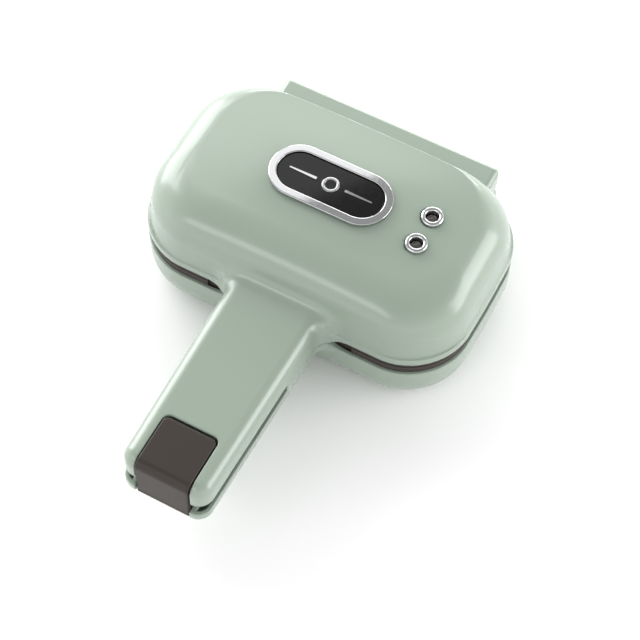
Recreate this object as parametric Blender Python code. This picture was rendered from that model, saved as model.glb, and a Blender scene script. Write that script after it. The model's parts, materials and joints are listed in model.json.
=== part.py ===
"""A table-top donut maker: a clamshell of two plastic housings, hinged at the back, latched at the handle.

Lengths below are in millimetres and are turned into metres where a mesh is made. +Z is up, -Y is the
handle's side, +Y the hinge's side, and X runs across. The origin is on the table under the middle of the
whole object.
"""

import math

import bmesh
import bpy
from mathutils import Vector

MM = 0.001

# Driving dimensions
BODY_W = 185.0
BODY_D = 113.0
CORNER_R = 34.0
END_BOW = 2.0
HANDLE_L = 117.0
HINGE_D = 16.0
PART_Z = 33.0
DOME_TOP = 79.7
SHELL = 2.4
GAP = 0.3

# How far a cutter runs past the face that it opens
OVERCUT = 2.0

# Places along Y that follow from them
REAR_Y = (BODY_D + HANDLE_L + HINGE_D) / 2
BODY_BACK = REAR_Y - HINGE_D
BODY_FRONT = BODY_BACK - BODY_D
BODY_Y = (BODY_BACK + BODY_FRONT) / 2
HANDLE_END = -REAR_Y

# The brown band between the housings: a lip on each frame's spigot, which is cut away across the neck
BAND_HALF = 4.0
BAND_INSET = 1.4
SPIGOT_INSET = 3.0
BAND_GAP_HALF = 42.0
FRAME_INSET = 10.8
SPIGOT_HALF = 7.5
SPIGOT_WALL = 2.0

# The lid's dome: a lip at the rim, a drafted wall, and a shoulder that rolls in further on some sides.
# Its back leans in as well. The top arches along X and is crowned.
LIP_TOP = PART_Z + 8.5
LIP_STEP = 1.0
DRAFT = 2.3
SHOULDER_Z = PART_Z + 20.5
CROWN = 3.4
ARCH = 1.5
ARCH_HALF = 60.0
SHOULDER_H = DOME_TOP - CROWN - ARCH - SHOULDER_Z
END_ROLL = 18.4
FRONT_ROLL = 24.2
BACK_ROLL = 2.8
BACK_LEAN = 9.2
TOP_R = 26.4
# The crown's rings: how much of the top's width each keeps
CROWN_RINGS = (0.7, 0.4)

# The base's housing
FLOOR_Z = 3.0
BOTTOM_IN = 9.0
BOTTOM_H = 15.0
REAR_ROLL = 6.0
REAR_CHAMFER = 1.5
REAR_OVERLAP = 12.0

# The handle: an upper half on the lid and a shallow lower half on the base
HANDLE_W_ROOT = 52.0
HANDLE_W_END = 48.0
HANDLE_TOP = PART_Z + 21.5
HANDLE_ROLL = 7.0
HANDLE_CORNER = 8.0
HANDLE_BOTTOM = PART_Z - 8.7
UPPER_HANDLE_END = HANDLE_END + 1.5
NECK_R = 10.0
NECK_W = 60.0
ROOT_Y = BODY_FRONT + 26.0
SLOT_Y = BODY_FRONT - 36.0
SLOT_TOP = PART_Z + 6.5
TONGUE_END = HANDLE_END + 12.6
TRAY_IN = 6.0
TRAY_H = 5.0
NOSE_HALF = 18.0
NOSE_D = 12.0

# The hinge: a barrel on the lid with a square top, two ears on the base, and a pin through each
HINGE_Y = BODY_BACK + 8.5
HINGE_Z = PART_Z + 2.5
BARREL_R = 7.5
BARREL_WALL = 2.2
BARREL_HALF = 64.0
BARREL_TOP = PART_Z + 13.5
BARREL_ROLL = 2.5
BARREL_SKIRT = 8.0
BARREL_MOUTH = 4.6
EAR_X = 50.0
EAR_W = 8.0
EAR_R = 4.5
EAR_SLOT = 10.0
EAR_FOOT = 20.0
CHEEK = 2.4
PIN_R = 1.7
PIN_HALF = 7.2
PIN_HOLE_R = 2.0
REAR_BOX_TOP = HINGE_Z - BARREL_R - 1.5

# Where the leads leave the base, cross the hinge and enter the dome, and where the supply cord's bush sits
LOWER_LEAD_X = -15.0
LOWER_LEAD_HOLE_R = 2.4
LEAD_SLOT_HALF = 4.0
UPPER_LEAD_X = 14.0
UPPER_LEAD_Z = HINGE_Z + 3.9
UPPER_LEAD_HOLE_R = 1.9
BUSH_X = 25.0
BUSH_Z = 16.5
BUSH_HOLE_R = 5.2

# The latch: a rocker whose hook catches under the lower handle's nose
LATCH_HALF = 14.7
NOTCH_HALF = 15.3
LATCH_FRONT = HANDLE_END + 1.0
LATCH_BACK = BODY_Y - 142.3
LATCH_TOP = HANDLE_TOP + 0.5
LATCH_FOOT = PART_Z - 7.0
LATCH_WALL = 3.0
LATCH_BEND = 5.0
HOOK = 3.5
HOOK_H = 2.4
PIVOT_Y = HANDLE_END + 11.0
PIVOT_Z = PART_Z + 14.0
LATCH_PIN_R = 1.5
LATCH_PIN_HOLE_R = 1.8
LUG_R = 3.6
LUG_SPAN = (9.5, 12.5)
NOTCH_WALL = 2.2
NOTCH_BACK = LATCH_BACK + 1.5
NOTCH_DEPTH = 4.0
NOTCH_SIDE_Z = PART_Z + 7.0
NOTCH_BACK_Z = PART_Z + 11.0
LATCH_PLAY = 0.8
CATCH_PLAY = 1.2

# The cooking plates: three by two ring moulds in each
PITCH_X = 48.0
PITCH_Y = 44.0
RING_R = 14.0
TUBE_R = 7.0
PLATE_WALL = 2.0
PLATE_INSET = 11.2
PLATE_FACE = PART_Z - 0.2
PLATE_T = 2.1

# Fasteners and what they hold
SCREW_R = 1.5
SCREW_HOLE_R = 1.8
HEAD_R = 3.0
HEAD_H = 1.6
POST_R = 4.0
BASE_SCREW_LOW = 4.8
BASE_SCREW_TIP = 25.0
LID_SCREW_LOW = PART_Z + 3.1
LID_SCREW_TIP = 60.0
PLATE_SCREW_TIP = 25.5
CORNER_POSTS = [(x, BODY_Y + y) for x in (-73.0, 73.0) for y in (-37.0, 37.0)]
PLATE_BOSSES = [(x, BODY_Y) for x in (-24.0, 24.0)]
REFLECTOR_Z = 11.8
REFLECTOR_T = 1.0
HEATER_R = 3.0
HEATER_Z = PLATE_FACE - TUBE_R - PLATE_WALL - GAP - HEATER_R
HEATER_CORNER = 18.0
HEATER_END_X = 9.0
LEDGE_T = 3.4
LINER_DEPTH = {"upper": 5.5, "lower": 2.5}
LINER_REACH = 6.0
FOOT_R = 7.0
FOOT_STEM_R = 2.4

# The signal lamps and the badge on the dome
LAMP_X = 53.1
LAMP_PITCH = 17.9
LAMPS = {"ready": BODY_Y - LAMP_PITCH / 2, "power": BODY_Y + LAMP_PITCH / 2}
BEZEL_R = 5.9
LAMP_HOLE_R = 4.5
LAMP_SEAT = DOME_TOP - 4.3
BADGE_L = 67.6
BADGE_W = 32.2
BADGE_RIM = 4.2
BADGE_SEAT = DOME_TOP - 1.8
FEET = {"foot_front_left": (-58.0, -34.0), "foot_front_right": (58.0, -34.0),
        "foot_rear_left": (-58.0, 34.0), "foot_rear_right": (58.0, 34.0)}

# How finely round shapes are cut
CORNER_STEPS = 5
SHOULDER_STEPS = 4
RING_STEPS = 16
ROD_STEPS = 10

# Colour, roughness, metallic
FINISHES = {
    "sage_plastic": ((0.41, 0.50, 0.43), 0.32, 0.0),
    "brown_plastic": ((0.055, 0.042, 0.038), 0.45, 0.0),
    "nonstick": ((0.035, 0.034, 0.036), 0.5, 0.2),
    "steel": ((0.62, 0.62, 0.63), 0.3, 1.0),
    "chrome": ((0.83, 0.84, 0.85), 0.08, 1.0),
    "badge_black": ((0.012, 0.012, 0.014), 0.2, 0.0),
    "smoke_lens": ((0.07, 0.06, 0.06), 0.1, 0.0),
    "lamp_glass": ((0.8, 0.35, 0.25), 0.15, 0.0),
    "heater_sheath": ((0.28, 0.27, 0.26), 0.5, 0.8),
    "bakelite": ((0.09, 0.07, 0.06), 0.6, 0.0),
    "ceramic": ((0.83, 0.8, 0.74), 0.6, 0.0),
    "silicone_lead": ((0.75, 0.73, 0.68), 0.6, 0.0),
    "rubber": ((0.03, 0.03, 0.03), 0.8, 0.0),
}


# --- Outlines, as lists of (x, y) running anticlockwise seen from above ---------------------------


def rounded_rect(half_x, half_y, radius, steps=CORNER_STEPS, centre=(0.0, 0.0)):
    points = []
    for sign_x, sign_y, start in ((1, 1, 0), (-1, 1, 90), (-1, -1, 180), (1, -1, 270)):
        for step in range(steps + 1):
            angle = math.radians(start + 90 * step / steps)
            x = sign_x * (half_x - radius) + radius * math.cos(angle)
            y = sign_y * (half_y - radius) + radius * math.sin(angle)
            points.append((centre[0] + x, centre[1] + y))
    return points


def body_outline(ends, front, back, radius):
    """The body's plan, set in by a distance on each side. Its two ends bow outwards a little."""
    half_x, half_y = BODY_W / 2 - ends, (BODY_D - front - back) / 2
    middle = BODY_Y + (front - back) / 2
    flat = rounded_rect(half_x, half_y, radius, centre=(0.0, middle))
    left = len(flat) // 2
    flat = [(half_x, middle)] + flat[:left] + [(-half_x, middle)] + flat[left:]
    return [(x * (1 - 2 * END_BOW / BODY_W * (2 * (y - BODY_Y) / BODY_D) ** 2), y) for x, y in flat]


def inset_outline(inset):
    return body_outline(inset, inset, inset, CORNER_R - inset)


def handle_outline(inset, end_y):
    """The handle's plan: round corners at its end, straight sides, and a flare where it leaves the body."""
    corner = max(HANDLE_CORNER - inset, 0.6)
    half_end = HANDLE_W_END / 2 - inset
    half_root = HANDLE_W_ROOT / 2
    side = []
    for step in range(CORNER_STEPS - 1):
        angle = math.radians(270 + 90 * step / (CORNER_STEPS - 2))
        x, y = corner * math.cos(angle), corner * (1 + math.sin(angle))
        side.append((half_end - corner + x, end_y + inset + y))
    flare = math.acos((NECK_R - (NECK_W / 2 - half_root)) / NECK_R)
    for step in range(4):
        angle = flare * step / 3
        reach = NECK_R + inset
        x, y = reach * math.cos(angle), reach * math.sin(angle)
        side.append((half_root + NECK_R - x, BODY_FRONT - NECK_R + y))
    side.append((NECK_W / 2 - inset, ROOT_Y))
    return side + [(-x, y) for x, y in reversed(side)]


def circle(x, y, radius, steps=ROD_STEPS):
    angles = [2 * math.pi * step / steps for step in range(steps)]
    return [(x + radius * math.cos(a), y + radius * math.sin(a)) for a in angles]


def stadium(inset):
    """The badge's outline, a straight-sided oval, set in from its edge."""
    radius = BADGE_W / 2 - inset
    return rounded_rect(BADGE_L / 2 - inset, radius, radius - 0.01, steps=7, centre=(0.0, BODY_Y))


def arc(centre, radius, start, stop, steps):
    """Points on an arc, from one angle in degrees to another."""
    angles = [math.radians(start + (stop - start) * step / steps) for step in range(steps + 1)]
    return [(centre[0] + radius * math.cos(a), centre[1] + radius * math.sin(a)) for a in angles]


# --- Solids ---------------------------------------------------------------------------------------


def skin(rings, closed=False):
    """A solid skinned over rings of equal length. Closed joins the last ring to the first."""
    bm = bmesh.new()
    rows = [[bm.verts.new(Vector(point) * MM) for point in ring] for ring in rings]
    size = len(rows[0])
    pairs = list(zip(rows, rows[1:]))
    if closed:
        pairs.append((rows[-1], rows[0]))
    for near, far in pairs:
        for i in range(size):
            j = (i + 1) % size
            bm.faces.new((near[i], near[j], far[j], far[i]))
    if not closed:
        bm.faces.new(rows[0])
        bm.faces.new(rows[-1])
    bmesh.ops.recalc_face_normals(bm, faces=bm.faces)
    mesh = bpy.data.meshes.new("solid")
    bm.to_mesh(mesh)
    bm.free()
    made = bpy.data.objects.new("solid", mesh)
    bpy.context.collection.objects.link(made)
    return made


def stack(levels, closed=False):
    """A solid through outlines at heights: levels is a list of (z, outline)."""
    return skin([[(x, y, z) for x, y in outline] for z, outline in levels], closed)


def block(x, y, z):
    """A box from three (low, high) pairs."""
    outline = [(x[0], y[0]), (x[1], y[0]), (x[1], y[1]), (x[0], y[1])]
    return stack([(z[0], outline), (z[1], outline)])


def prism_x(profile, x0, x1):
    """A profile of (y, z) points, drawn out along X."""
    return skin([[(x, y, z) for y, z in profile] for x in (x0, x1)])


def turned(profile, x, y, closed=False, steps=ROD_STEPS):
    """A profile of (radius, z) points turned about an upright axis; a closed profile gives a ring."""
    return stack([(z, circle(x, y, radius, steps)) for radius, z in profile], closed)


def rod_z(x, y, radius, z0, z1, steps=ROD_STEPS):
    return turned([(radius, z0), (radius, z1)], x, y, steps=steps)


def rod_x(y, z, radius, x0, x1, steps=ROD_STEPS):
    return prism_x(circle(y, z, radius, steps), x0, x1)


def rod_y(x, z, radius, y0, y1, steps=ROD_STEPS):
    return skin([[(px, y, pz) for px, pz in circle(x, z, radius, steps)] for y in (y0, y1)])


def tube(points, radius, sides=1):
    """A round tube along a list of points, closed at both ends."""
    curve = bpy.data.curves.new("tube", "CURVE")
    curve.dimensions = "3D"
    curve.bevel_depth = radius * MM
    curve.bevel_resolution = sides
    curve.use_fill_caps = True
    spline = curve.splines.new("POLY")
    spline.points.add(len(points) - 1)
    for place, point in zip(spline.points, points):
        place.co = (*(Vector(point) * MM), 1.0)
    made = bpy.data.objects.new("tube", curve)
    bpy.context.collection.objects.link(made)
    return made


def smooth_path(points, steps=4):
    """Points on a smooth curve that passes through the given ones."""
    knots = [Vector(p) for p in points]
    knots = [2 * knots[0] - knots[1]] + knots + [2 * knots[-1] - knots[-2]]
    path = []
    for a, b, c, d in zip(knots, knots[1:], knots[2:], knots[3:]):
        for step in range(steps):
            t = step / steps
            path.append(0.5 * (2 * b + (c - a) * t + (2 * a - 5 * b + 4 * c - d) * t**2
                               + (3 * b - a - 3 * c + d) * t**3))
    return path + [knots[-2]]


def boolean(target, tool, operation):
    """Joins the tool to the target, or cuts the target with it. The tool is used up."""
    modifier = target.modifiers.new("boolean", "BOOLEAN")
    modifier.operation = operation
    modifier.object = tool
    graph = bpy.context.evaluated_depsgraph_get()
    mesh = bpy.data.meshes.new_from_object(target.evaluated_get(graph))
    target.modifiers.clear()
    target.data = mesh
    bpy.data.objects.remove(tool)


def join(target, *tools):
    for tool in tools:
        boolean(target, tool, "UNION")
    return target


def cut(target, *tools):
    for tool in tools:
        boolean(target, tool, "DIFFERENCE")
    return target


def flipped(made):
    """The same solid mirrored in the plane where the two halves meet."""
    bm = bmesh.new()
    bm.from_mesh(made.data)
    for vert in bm.verts:
        vert.co.z = 2 * PART_Z * MM - vert.co.z
    bmesh.ops.reverse_faces(bm, faces=bm.faces)
    bm.to_mesh(made.data)
    bm.free()
    return made


# --- Naming, materials and parents ----------------------------------------------------------------


def clear_scene():
    for old in list(bpy.data.objects):
        bpy.data.objects.remove(old)


def finish_of(name):
    """The named finish as a material, made once."""
    found = bpy.data.materials.get(name)
    if found:
        return found
    colour, roughness, metallic = FINISHES[name]
    made = bpy.data.materials.new(name)
    made.use_nodes = True
    shader = made.node_tree.nodes["Principled BSDF"]
    shader.inputs["Base Color"].default_value = (*colour, 1.0)
    shader.inputs["Roughness"].default_value = roughness
    shader.inputs["Metallic"].default_value = metallic
    return made


def empty(name, place, parent=None):
    made = bpy.data.objects.new(name, None)
    made.empty_display_size = 0.02
    bpy.context.collection.objects.link(made)
    made.location = Vector(place) * MM
    if parent:
        made.location -= parent.matrix_world.translation
        made.parent = parent
    bpy.context.view_layer.update()
    return made


def node(made, name, finish, parent):
    """Gives a finished solid its name, material, smooth shading and parent."""
    made.name = name
    made.data.name = name
    made.data.materials.clear()
    made.data.materials.append(finish_of(finish))
    if made.type == "MESH":
        made.data.shade_smooth()
        made.data.set_sharp_from_angle(angle=math.radians(35))
    made.parent = parent
    made.matrix_parent_inverse = parent.matrix_world.inverted()
    return made


# --- The lid's housing ----------------------------------------------------------------------------


def arch(x):
    """How much higher the dome's top is at a place along X than at the ends of its arch."""
    return ARCH * max(1 - (x / ARCH_HALF) ** 2, -0.5)


def dome(wall):
    """The lid's dome, or with a wall the hollow inside it, which also runs on below the rim."""
    if wall:
        levels = [(PART_Z - 1, inset_outline(wall)), (LIP_TOP, inset_outline(wall))]
    else:
        levels = [(PART_Z + BAND_HALF, inset_outline(0)), (LIP_TOP, inset_outline(0)),
                  (LIP_TOP + LIP_STEP, inset_outline(LIP_STEP))]
    rings = [[(x, y, z) for x, y in outline] for z, outline in levels]
    for step in range(SHOULDER_STEPS + 1):
        angle = math.radians(90 * step / SHOULDER_STEPS)
        turn, lift = 1 - math.cos(angle), math.sin(angle)
        sides = [DRAFT + wall + roll * turn for roll in (END_ROLL, FRONT_ROLL, BACK_ROLL)]
        sides[2] += BACK_LEAN * lift
        radius = CORNER_R + (TOP_R - CORNER_R) * turn - wall
        z = SHOULDER_Z + (SHOULDER_H - wall) * lift
        rings.append([(x, y, z + arch(x) * lift) for x, y in body_outline(*sides, radius)])
    middle = BODY_Y + (FRONT_ROLL - BACK_ROLL - BACK_LEAN) / 2
    for keep in CROWN_RINGS:
        outline = [(x * keep, middle + (y - middle) * keep) for x, y, _ in rings[SHOULDER_STEPS + len(levels)]]
        rings.append([(x, y, z + CROWN * (1 - keep**2) + arch(x)) for x, y in outline])
    return skin(rings)


def upper_handle(wall):
    """The lid's half of the handle, or with a wall the hollow inside it."""
    low = PART_Z - 1 if wall else PART_Z + GAP
    levels = [(low, handle_outline(wall, UPPER_HANDLE_END))]
    for step in range(4):
        angle = math.radians(30 * step)
        inset = wall + (HANDLE_ROLL - wall) * (1 - math.cos(angle))
        z = HANDLE_TOP - HANDLE_ROLL + (HANDLE_ROLL - wall) * math.sin(angle)
        levels.append((z, handle_outline(inset, UPPER_HANDLE_END)))
    return stack(levels)


def barrel(radius, x0, x1, front):
    """A hinge barrel's cross-section: round about the pin, and square above it and forward to the dome."""
    top = BARREL_TOP - BARREL_R + radius
    corner = (HINGE_Y + radius - BARREL_ROLL, top - BARREL_ROLL)
    profile = [(front, top)] + arc(corner, BARREL_ROLL, 90, 0, 3)
    profile += arc((HINGE_Y, HINGE_Z), radius, 0, -180, 10)
    profile += [(HINGE_Y - radius, PART_Z + BAND_HALF), (front, PART_Z + BAND_HALF)]
    return prism_x(profile, x0, x1)


def barrel_hollow():
    """The barrel's inside and its mouth below, which clears the base as the lid turns."""
    inner, top = BARREL_R - BARREL_WALL, BARREL_TOP - BARREL_WALL
    front = BODY_BACK + GAP
    profile = [(front, top), (HINGE_Y + inner, top)] + arc((HINGE_Y, HINGE_Z), inner, 0, -60, 5)
    profile += [(HINGE_Y + BARREL_MOUTH, HINGE_Z - BARREL_SKIRT), (front, HINGE_Z - BARREL_SKIRT)]
    half = BARREL_HALF - BARREL_WALL
    return prism_x(profile, -half, half)


def make_upper_cover(parent):
    hollow = join(dome(SHELL), upper_handle(SHELL))
    for x, y in CORNER_POSTS:
        cut(hollow, rod_z(x, y, POST_R, 2 * PART_Z - REFLECTOR_Z + GAP, DOME_TOP))
    rim = HANDLE_TOP + OVERCUT
    for side in (-1, 1):
        rib = sorted((side * NOTCH_HALF, side * (NOTCH_HALF + NOTCH_WALL)))
        cut(hollow, block(rib, (HANDLE_END, NOTCH_BACK + NOTCH_WALL), (NOTCH_SIDE_Z, rim)))
    wide = NOTCH_HALF + NOTCH_WALL / 2
    cut(hollow, block((-wide, wide), (NOTCH_BACK, NOTCH_BACK + NOTCH_WALL), (NOTCH_BACK_Z, rim)))
    cover = join(dome(0), upper_handle(0), barrel(BARREL_R, -BARREL_HALF, BARREL_HALF, BODY_BACK - 10))
    cut(cover, hollow, barrel_hollow())
    behind = (BODY_BACK + GAP, REAR_Y + OVERCUT)
    below = (HINGE_Z - BARREL_R - OVERCUT, HINGE_Z + BARREL_R - BARREL_WALL)
    for side in (-1, 1):
        for x in (EAR_X - EAR_SLOT / 2 - CHEEK, EAR_X + EAR_SLOT / 2):
            web = sorted((side * x, side * (x + CHEEK)))
            join(cover, barrel(BARREL_R - 1, web[0], web[1], BODY_BACK - 0.8))
        slot = sorted((side * (EAR_X - EAR_SLOT / 2), side * (EAR_X + EAR_SLOT / 2)))
        cut(cover, block(slot, behind, below))
        pin = sorted((side * (EAR_X - PIN_HALF - OVERCUT), side * (EAR_X + PIN_HALF + OVERCUT)))
        cut(cover, rod_x(HINGE_Y, HINGE_Z, PIN_HOLE_R, *pin))
    notch, out = (-NOTCH_HALF, NOTCH_HALF), HANDLE_END - OVERCUT
    cut(cover,
        block((LOWER_LEAD_X - LEAD_SLOT_HALF, LOWER_LEAD_X + LEAD_SLOT_HALF), behind, below),
        rod_y(UPPER_LEAD_X, UPPER_LEAD_Z, UPPER_LEAD_HOLE_R, BODY_BACK - 3 * SHELL, BODY_BACK + OVERCUT),
        block((-HANDLE_W_ROOT, HANDLE_W_ROOT), (out, SLOT_Y), (PART_Z - OVERCUT, SLOT_TOP)),
        block(notch, (out, NOTCH_BACK), (HANDLE_TOP - NOTCH_DEPTH, rim)),
        block(notch, (out, LATCH_FRONT + LATCH_WALL + LATCH_PLAY), (PART_Z - OVERCUT, rim)),
        rod_x(PIVOT_Y, PIVOT_Z, LATCH_PIN_HOLE_R, -NOTCH_HALF - SHELL, NOTCH_HALF + SHELL),
        stack([(BADGE_SEAT, stadium(-GAP)), (DOME_TOP + OVERCUT, stadium(-GAP))]))
    for x, y in CORNER_POSTS:
        cut(cover, rod_z(x, y, SCREW_HOLE_R, 2 * PART_Z - REFLECTOR_Z - OVERCUT, LID_SCREW_TIP + 1.0, 8))
    for y in LAMPS.values():
        cut(cover, rod_z(LAMP_X, y, BEZEL_R + GAP, LAMP_SEAT, DOME_TOP + OVERCUT, RING_STEPS))
        cut(cover, rod_z(LAMP_X, y, LAMP_HOLE_R, LAMP_SEAT - 3 * SHELL, DOME_TOP + OVERCUT, RING_STEPS))
    node(cover, "upper_cover", "sage_plastic", parent)


# --- The base's housing ---------------------------------------------------------------------------


def pan(wall):
    """The base's bowl, or with a wall the hollow inside it, which also runs on above the rim."""
    levels = []
    for step in range(SHOULDER_STEPS + 1):
        angle = math.radians(90 * step / SHOULDER_STEPS)
        z = FLOOR_Z + BOTTOM_H * (1 - math.cos(angle)) + wall * math.cos(angle)
        levels.append((z, inset_outline(wall + BOTTOM_IN * (1 - math.sin(angle)))))
    levels.append((PART_Z + 1 if wall else PART_Z - BAND_HALF, inset_outline(wall)))
    return stack(levels)


def lower_handle(wall):
    """The base's half of the handle, a shallow tray, or with a wall the hollow inside it."""
    levels = []
    for step in range(4):
        angle = math.radians(30 * step)
        inset = wall + TRAY_IN * (1 - math.sin(angle))
        z = HANDLE_BOTTOM + TRAY_H * (1 - math.cos(angle)) + wall * math.cos(angle)
        levels.append((z, handle_outline(inset, HANDLE_END)))
    levels.append((PART_Z + 1 if wall else PART_Z - GAP, handle_outline(wall, HANDLE_END)))
    return stack(levels)


def rear_box(wall):
    """The box behind the bowl that carries the hinge ears, or with a wall its hollow."""
    back, top, low = REAR_Y - wall, REAR_BOX_TOP - wall, FLOOR_Z + wall
    front = BODY_BACK - REAR_OVERLAP
    profile = [(front, top), (front, low)]
    profile += arc((back - REAR_ROLL, low + REAR_ROLL), REAR_ROLL, -90, 0, 3)
    profile += [(back, top - REAR_CHAMFER), (back - REAR_CHAMFER, top)]
    half = BARREL_HALF - wall
    return prism_x(profile, -half, half)


def make_lower_cover(parent):
    hollow = join(pan(SHELL), lower_handle(SHELL), rear_box(SHELL))
    for x, y in CORNER_POSTS:
        cut(hollow, rod_z(x, y, POST_R, 0, REFLECTOR_Z - GAP))
    cut(hollow, block((-NOSE_HALF, NOSE_HALF), (HANDLE_END, HANDLE_END + NOSE_D), (0, PART_Z - GAP)))
    cover = cut(join(pan(0), lower_handle(0), rear_box(0)), hollow)
    ear = [(HINGE_Y - EAR_R, EAR_FOOT)] + arc((HINGE_Y, HINGE_Z), EAR_R, 180, 0, 8)
    ear.append((HINGE_Y + EAR_R, EAR_FOOT))
    for side in (-1, 1):
        span = sorted((side * (EAR_X - EAR_W / 2), side * (EAR_X + EAR_W / 2)))
        join(cover, prism_x(ear, *span))
        cut(cover, rod_x(HINGE_Y, HINGE_Z, PIN_HOLE_R, span[0] - OVERCUT, span[1] + OVERCUT))
    notch, below = (-NOTCH_HALF, NOTCH_HALF), HANDLE_BOTTOM - 2 * OVERCUT
    nose_face = LATCH_FRONT + LATCH_WALL + GAP
    cut(cover,
        block(notch, (HANDLE_END - OVERCUT, nose_face), (below, PART_Z + OVERCUT)),
        block(notch, (HANDLE_END - OVERCUT, nose_face + HOOK), (below, LATCH_FOOT + HOOK_H + CATCH_PLAY)),
        rod_z(LOWER_LEAD_X, HINGE_Y, LOWER_LEAD_HOLE_R, REAR_BOX_TOP - 2 * SHELL, REAR_BOX_TOP + OVERCUT),
        rod_y(BUSH_X, BUSH_Z, BUSH_HOLE_R, REAR_Y - 3 * SHELL, REAR_Y + OVERCUT))
    seat = BASE_SCREW_LOW + HEAD_H + GAP
    for x, y in CORNER_POSTS:
        shank = rod_z(x, y, SCREW_HOLE_R, 0, REFLECTOR_Z + OVERCUT, 8)
        cut(cover, shank, rod_z(x, y, HEAD_R + GAP, 0, seat))
    for x, y in FEET.values():
        cut(cover, rod_z(x, BODY_Y + y, FOOT_STEM_R + GAP, 0, FLOOR_Z + 2 * SHELL))
    node(cover, "lower_cover", "sage_plastic", parent)


# --- Frames, plates and what lies behind them. Each is drawn for the base and flipped for the lid -


def make_frame(half, upper, parent):
    """The brown band, its spigot inside the housing, four posts, and a tongue that lines the handle."""
    top, foot = PART_Z - GAP, PART_Z - SPIGOT_HALF
    band = PART_Z - BAND_HALF + GAP
    profile = [(SPIGOT_INSET, foot), (SPIGOT_INSET, band), (BAND_INSET, band), (BAND_INSET, top), (FRAME_INSET, top),
               (FRAME_INSET, top - LEDGE_T), (SPIGOT_INSET + SPIGOT_WALL, top - LEDGE_T),
               (SPIGOT_INSET + SPIGOT_WALL, foot)]
    frame = stack([(z, inset_outline(inset)) for inset, z in profile], closed=True)
    across = (BODY_FRONT, BODY_FRONT + SPIGOT_INSET - GAP)
    cut(frame, block((-BAND_GAP_HALF, BAND_GAP_HALF), across, (foot, top + OVERCUT)))
    reach = BODY_FRONT + LINER_REACH
    outline = handle_outline(SHELL + 2 * GAP, TONGUE_END)
    side = [(x, y) for x, y in outline if x > 0 and y < BODY_FRONT]
    side[-1] = (side[-1][0], reach)
    liner = side + [(-x, y) for x, y in reversed(side)]
    join(frame, stack([(PART_Z - LINER_DEPTH[half], liner), (top - 0.5, liner)]))
    for x, y in CORNER_POSTS:
        join(frame, rod_z(x, y, POST_R, REFLECTOR_Z + REFLECTOR_T + GAP, PLATE_FACE - PLATE_T - GAP))
        hole_top = PART_Z + OVERCUT if upper else BASE_SCREW_TIP + OVERCUT
        cut(frame, rod_z(x, y, SCREW_HOLE_R, REFLECTOR_Z, hole_top, 8))
        if upper:
            cut(frame, rod_z(x, y, HEAD_R + GAP, 2 * PART_Z - LID_SCREW_LOW - HEAD_H - 0.1, hole_top))
    if upper:
        flipped(frame)
        lead = (UPPER_LEAD_X - LEAD_SLOT_HALF, UPPER_LEAD_X + LEAD_SLOT_HALF)
        cut(frame, block(lead, (BODY_BACK - 8, BODY_BACK), (PART_Z + BAND_HALF + 0.4, PART_Z + 12)))
    node(frame, f"{half}_frame", "brown_plastic", parent)


def make_plate(half, upper, parent):
    """A cast plate with six ring moulds that bulge from its back, and two bosses for its screws."""
    outline = inset_outline(PLATE_INSET)
    plate = stack([(PLATE_FACE - PLATE_T, outline), (PLATE_FACE, outline)])
    places = [(i * PITCH_X, BODY_Y + j * PITCH_Y) for i in (-1, 0, 1) for j in (-0.5, 0.5)]
    bulge = arc((RING_R, PLATE_FACE), TUBE_R + PLATE_WALL, -171, -9, 4)
    mould = arc((RING_R, PLATE_FACE), TUBE_R, 0, 360 - 45, 7)
    for x, y in places:
        join(plate, turned(bulge, x, y, closed=True, steps=RING_STEPS))
    for x, y in places:
        cut(plate, turned(mould, x, y, closed=True, steps=RING_STEPS))
    for x, y in PLATE_BOSSES:
        join(plate, rod_z(x, y, POST_R, REFLECTOR_Z + REFLECTOR_T + GAP, PLATE_FACE - PLATE_T / 2))
        cut(plate, rod_z(x, y, SCREW_HOLE_R, REFLECTOR_Z, PLATE_SCREW_TIP + 1.5, 8))
    node(flipped(plate) if upper else plate, f"{half}_plate", "nonstick", parent)


def make_heater(half, upper, parent):
    """A sheathed heating element: one loop under the moulds, open at the back where its ends are wired."""
    loop = rounded_rect(PITCH_X, PITCH_Y / 2, HEATER_CORNER, steps=5, centre=(0, BODY_Y))
    corner = len(loop) // 4
    ends_y = BODY_Y + PITCH_Y / 2
    route = [(-HEATER_END_X, ends_y)] + loop[corner:] + loop[:corner] + [(HEATER_END_X, ends_y)]
    z = 2 * PART_Z - HEATER_Z if upper else HEATER_Z
    node(tube([(x, y, z) for x, y in route], HEATER_R, sides=2), f"{half}_heater", "heater_sheath", parent)


def make_reflector(half, upper, parent):
    """A sheet behind the heater, clamped at its corners between the frame's and the housing's posts."""
    outline = inset_outline(BOTTOM_IN)
    sheet = stack([(REFLECTOR_Z, outline), (REFLECTOR_Z + REFLECTOR_T, outline)])
    for x, y in CORNER_POSTS + PLATE_BOSSES:
        cut(sheet, rod_z(x, y, SCREW_HOLE_R, REFLECTOR_Z - OVERCUT, REFLECTOR_Z + OVERCUT, 8))
    node(flipped(sheet) if upper else sheet, f"{half}_reflector", "steel", parent)


def make_screw(name, x, y, low, high, head_at_low, parent):
    """A pan-head screw from its head's face to its tip."""
    head = [(HEAD_R - 0.6, 0.0), (HEAD_R, 0.6), (HEAD_R, HEAD_H), (SCREW_R, HEAD_H)]
    length = high - low
    profile = head + [(SCREW_R, length - 1.0), (SCREW_R / 2, length)]
    if head_at_low:
        placed = [(radius, low + z) for radius, z in profile]
    else:
        placed = [(radius, high - z) for radius, z in profile]
    node(turned(placed, x, y, steps=10), name, "steel", parent)


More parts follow.
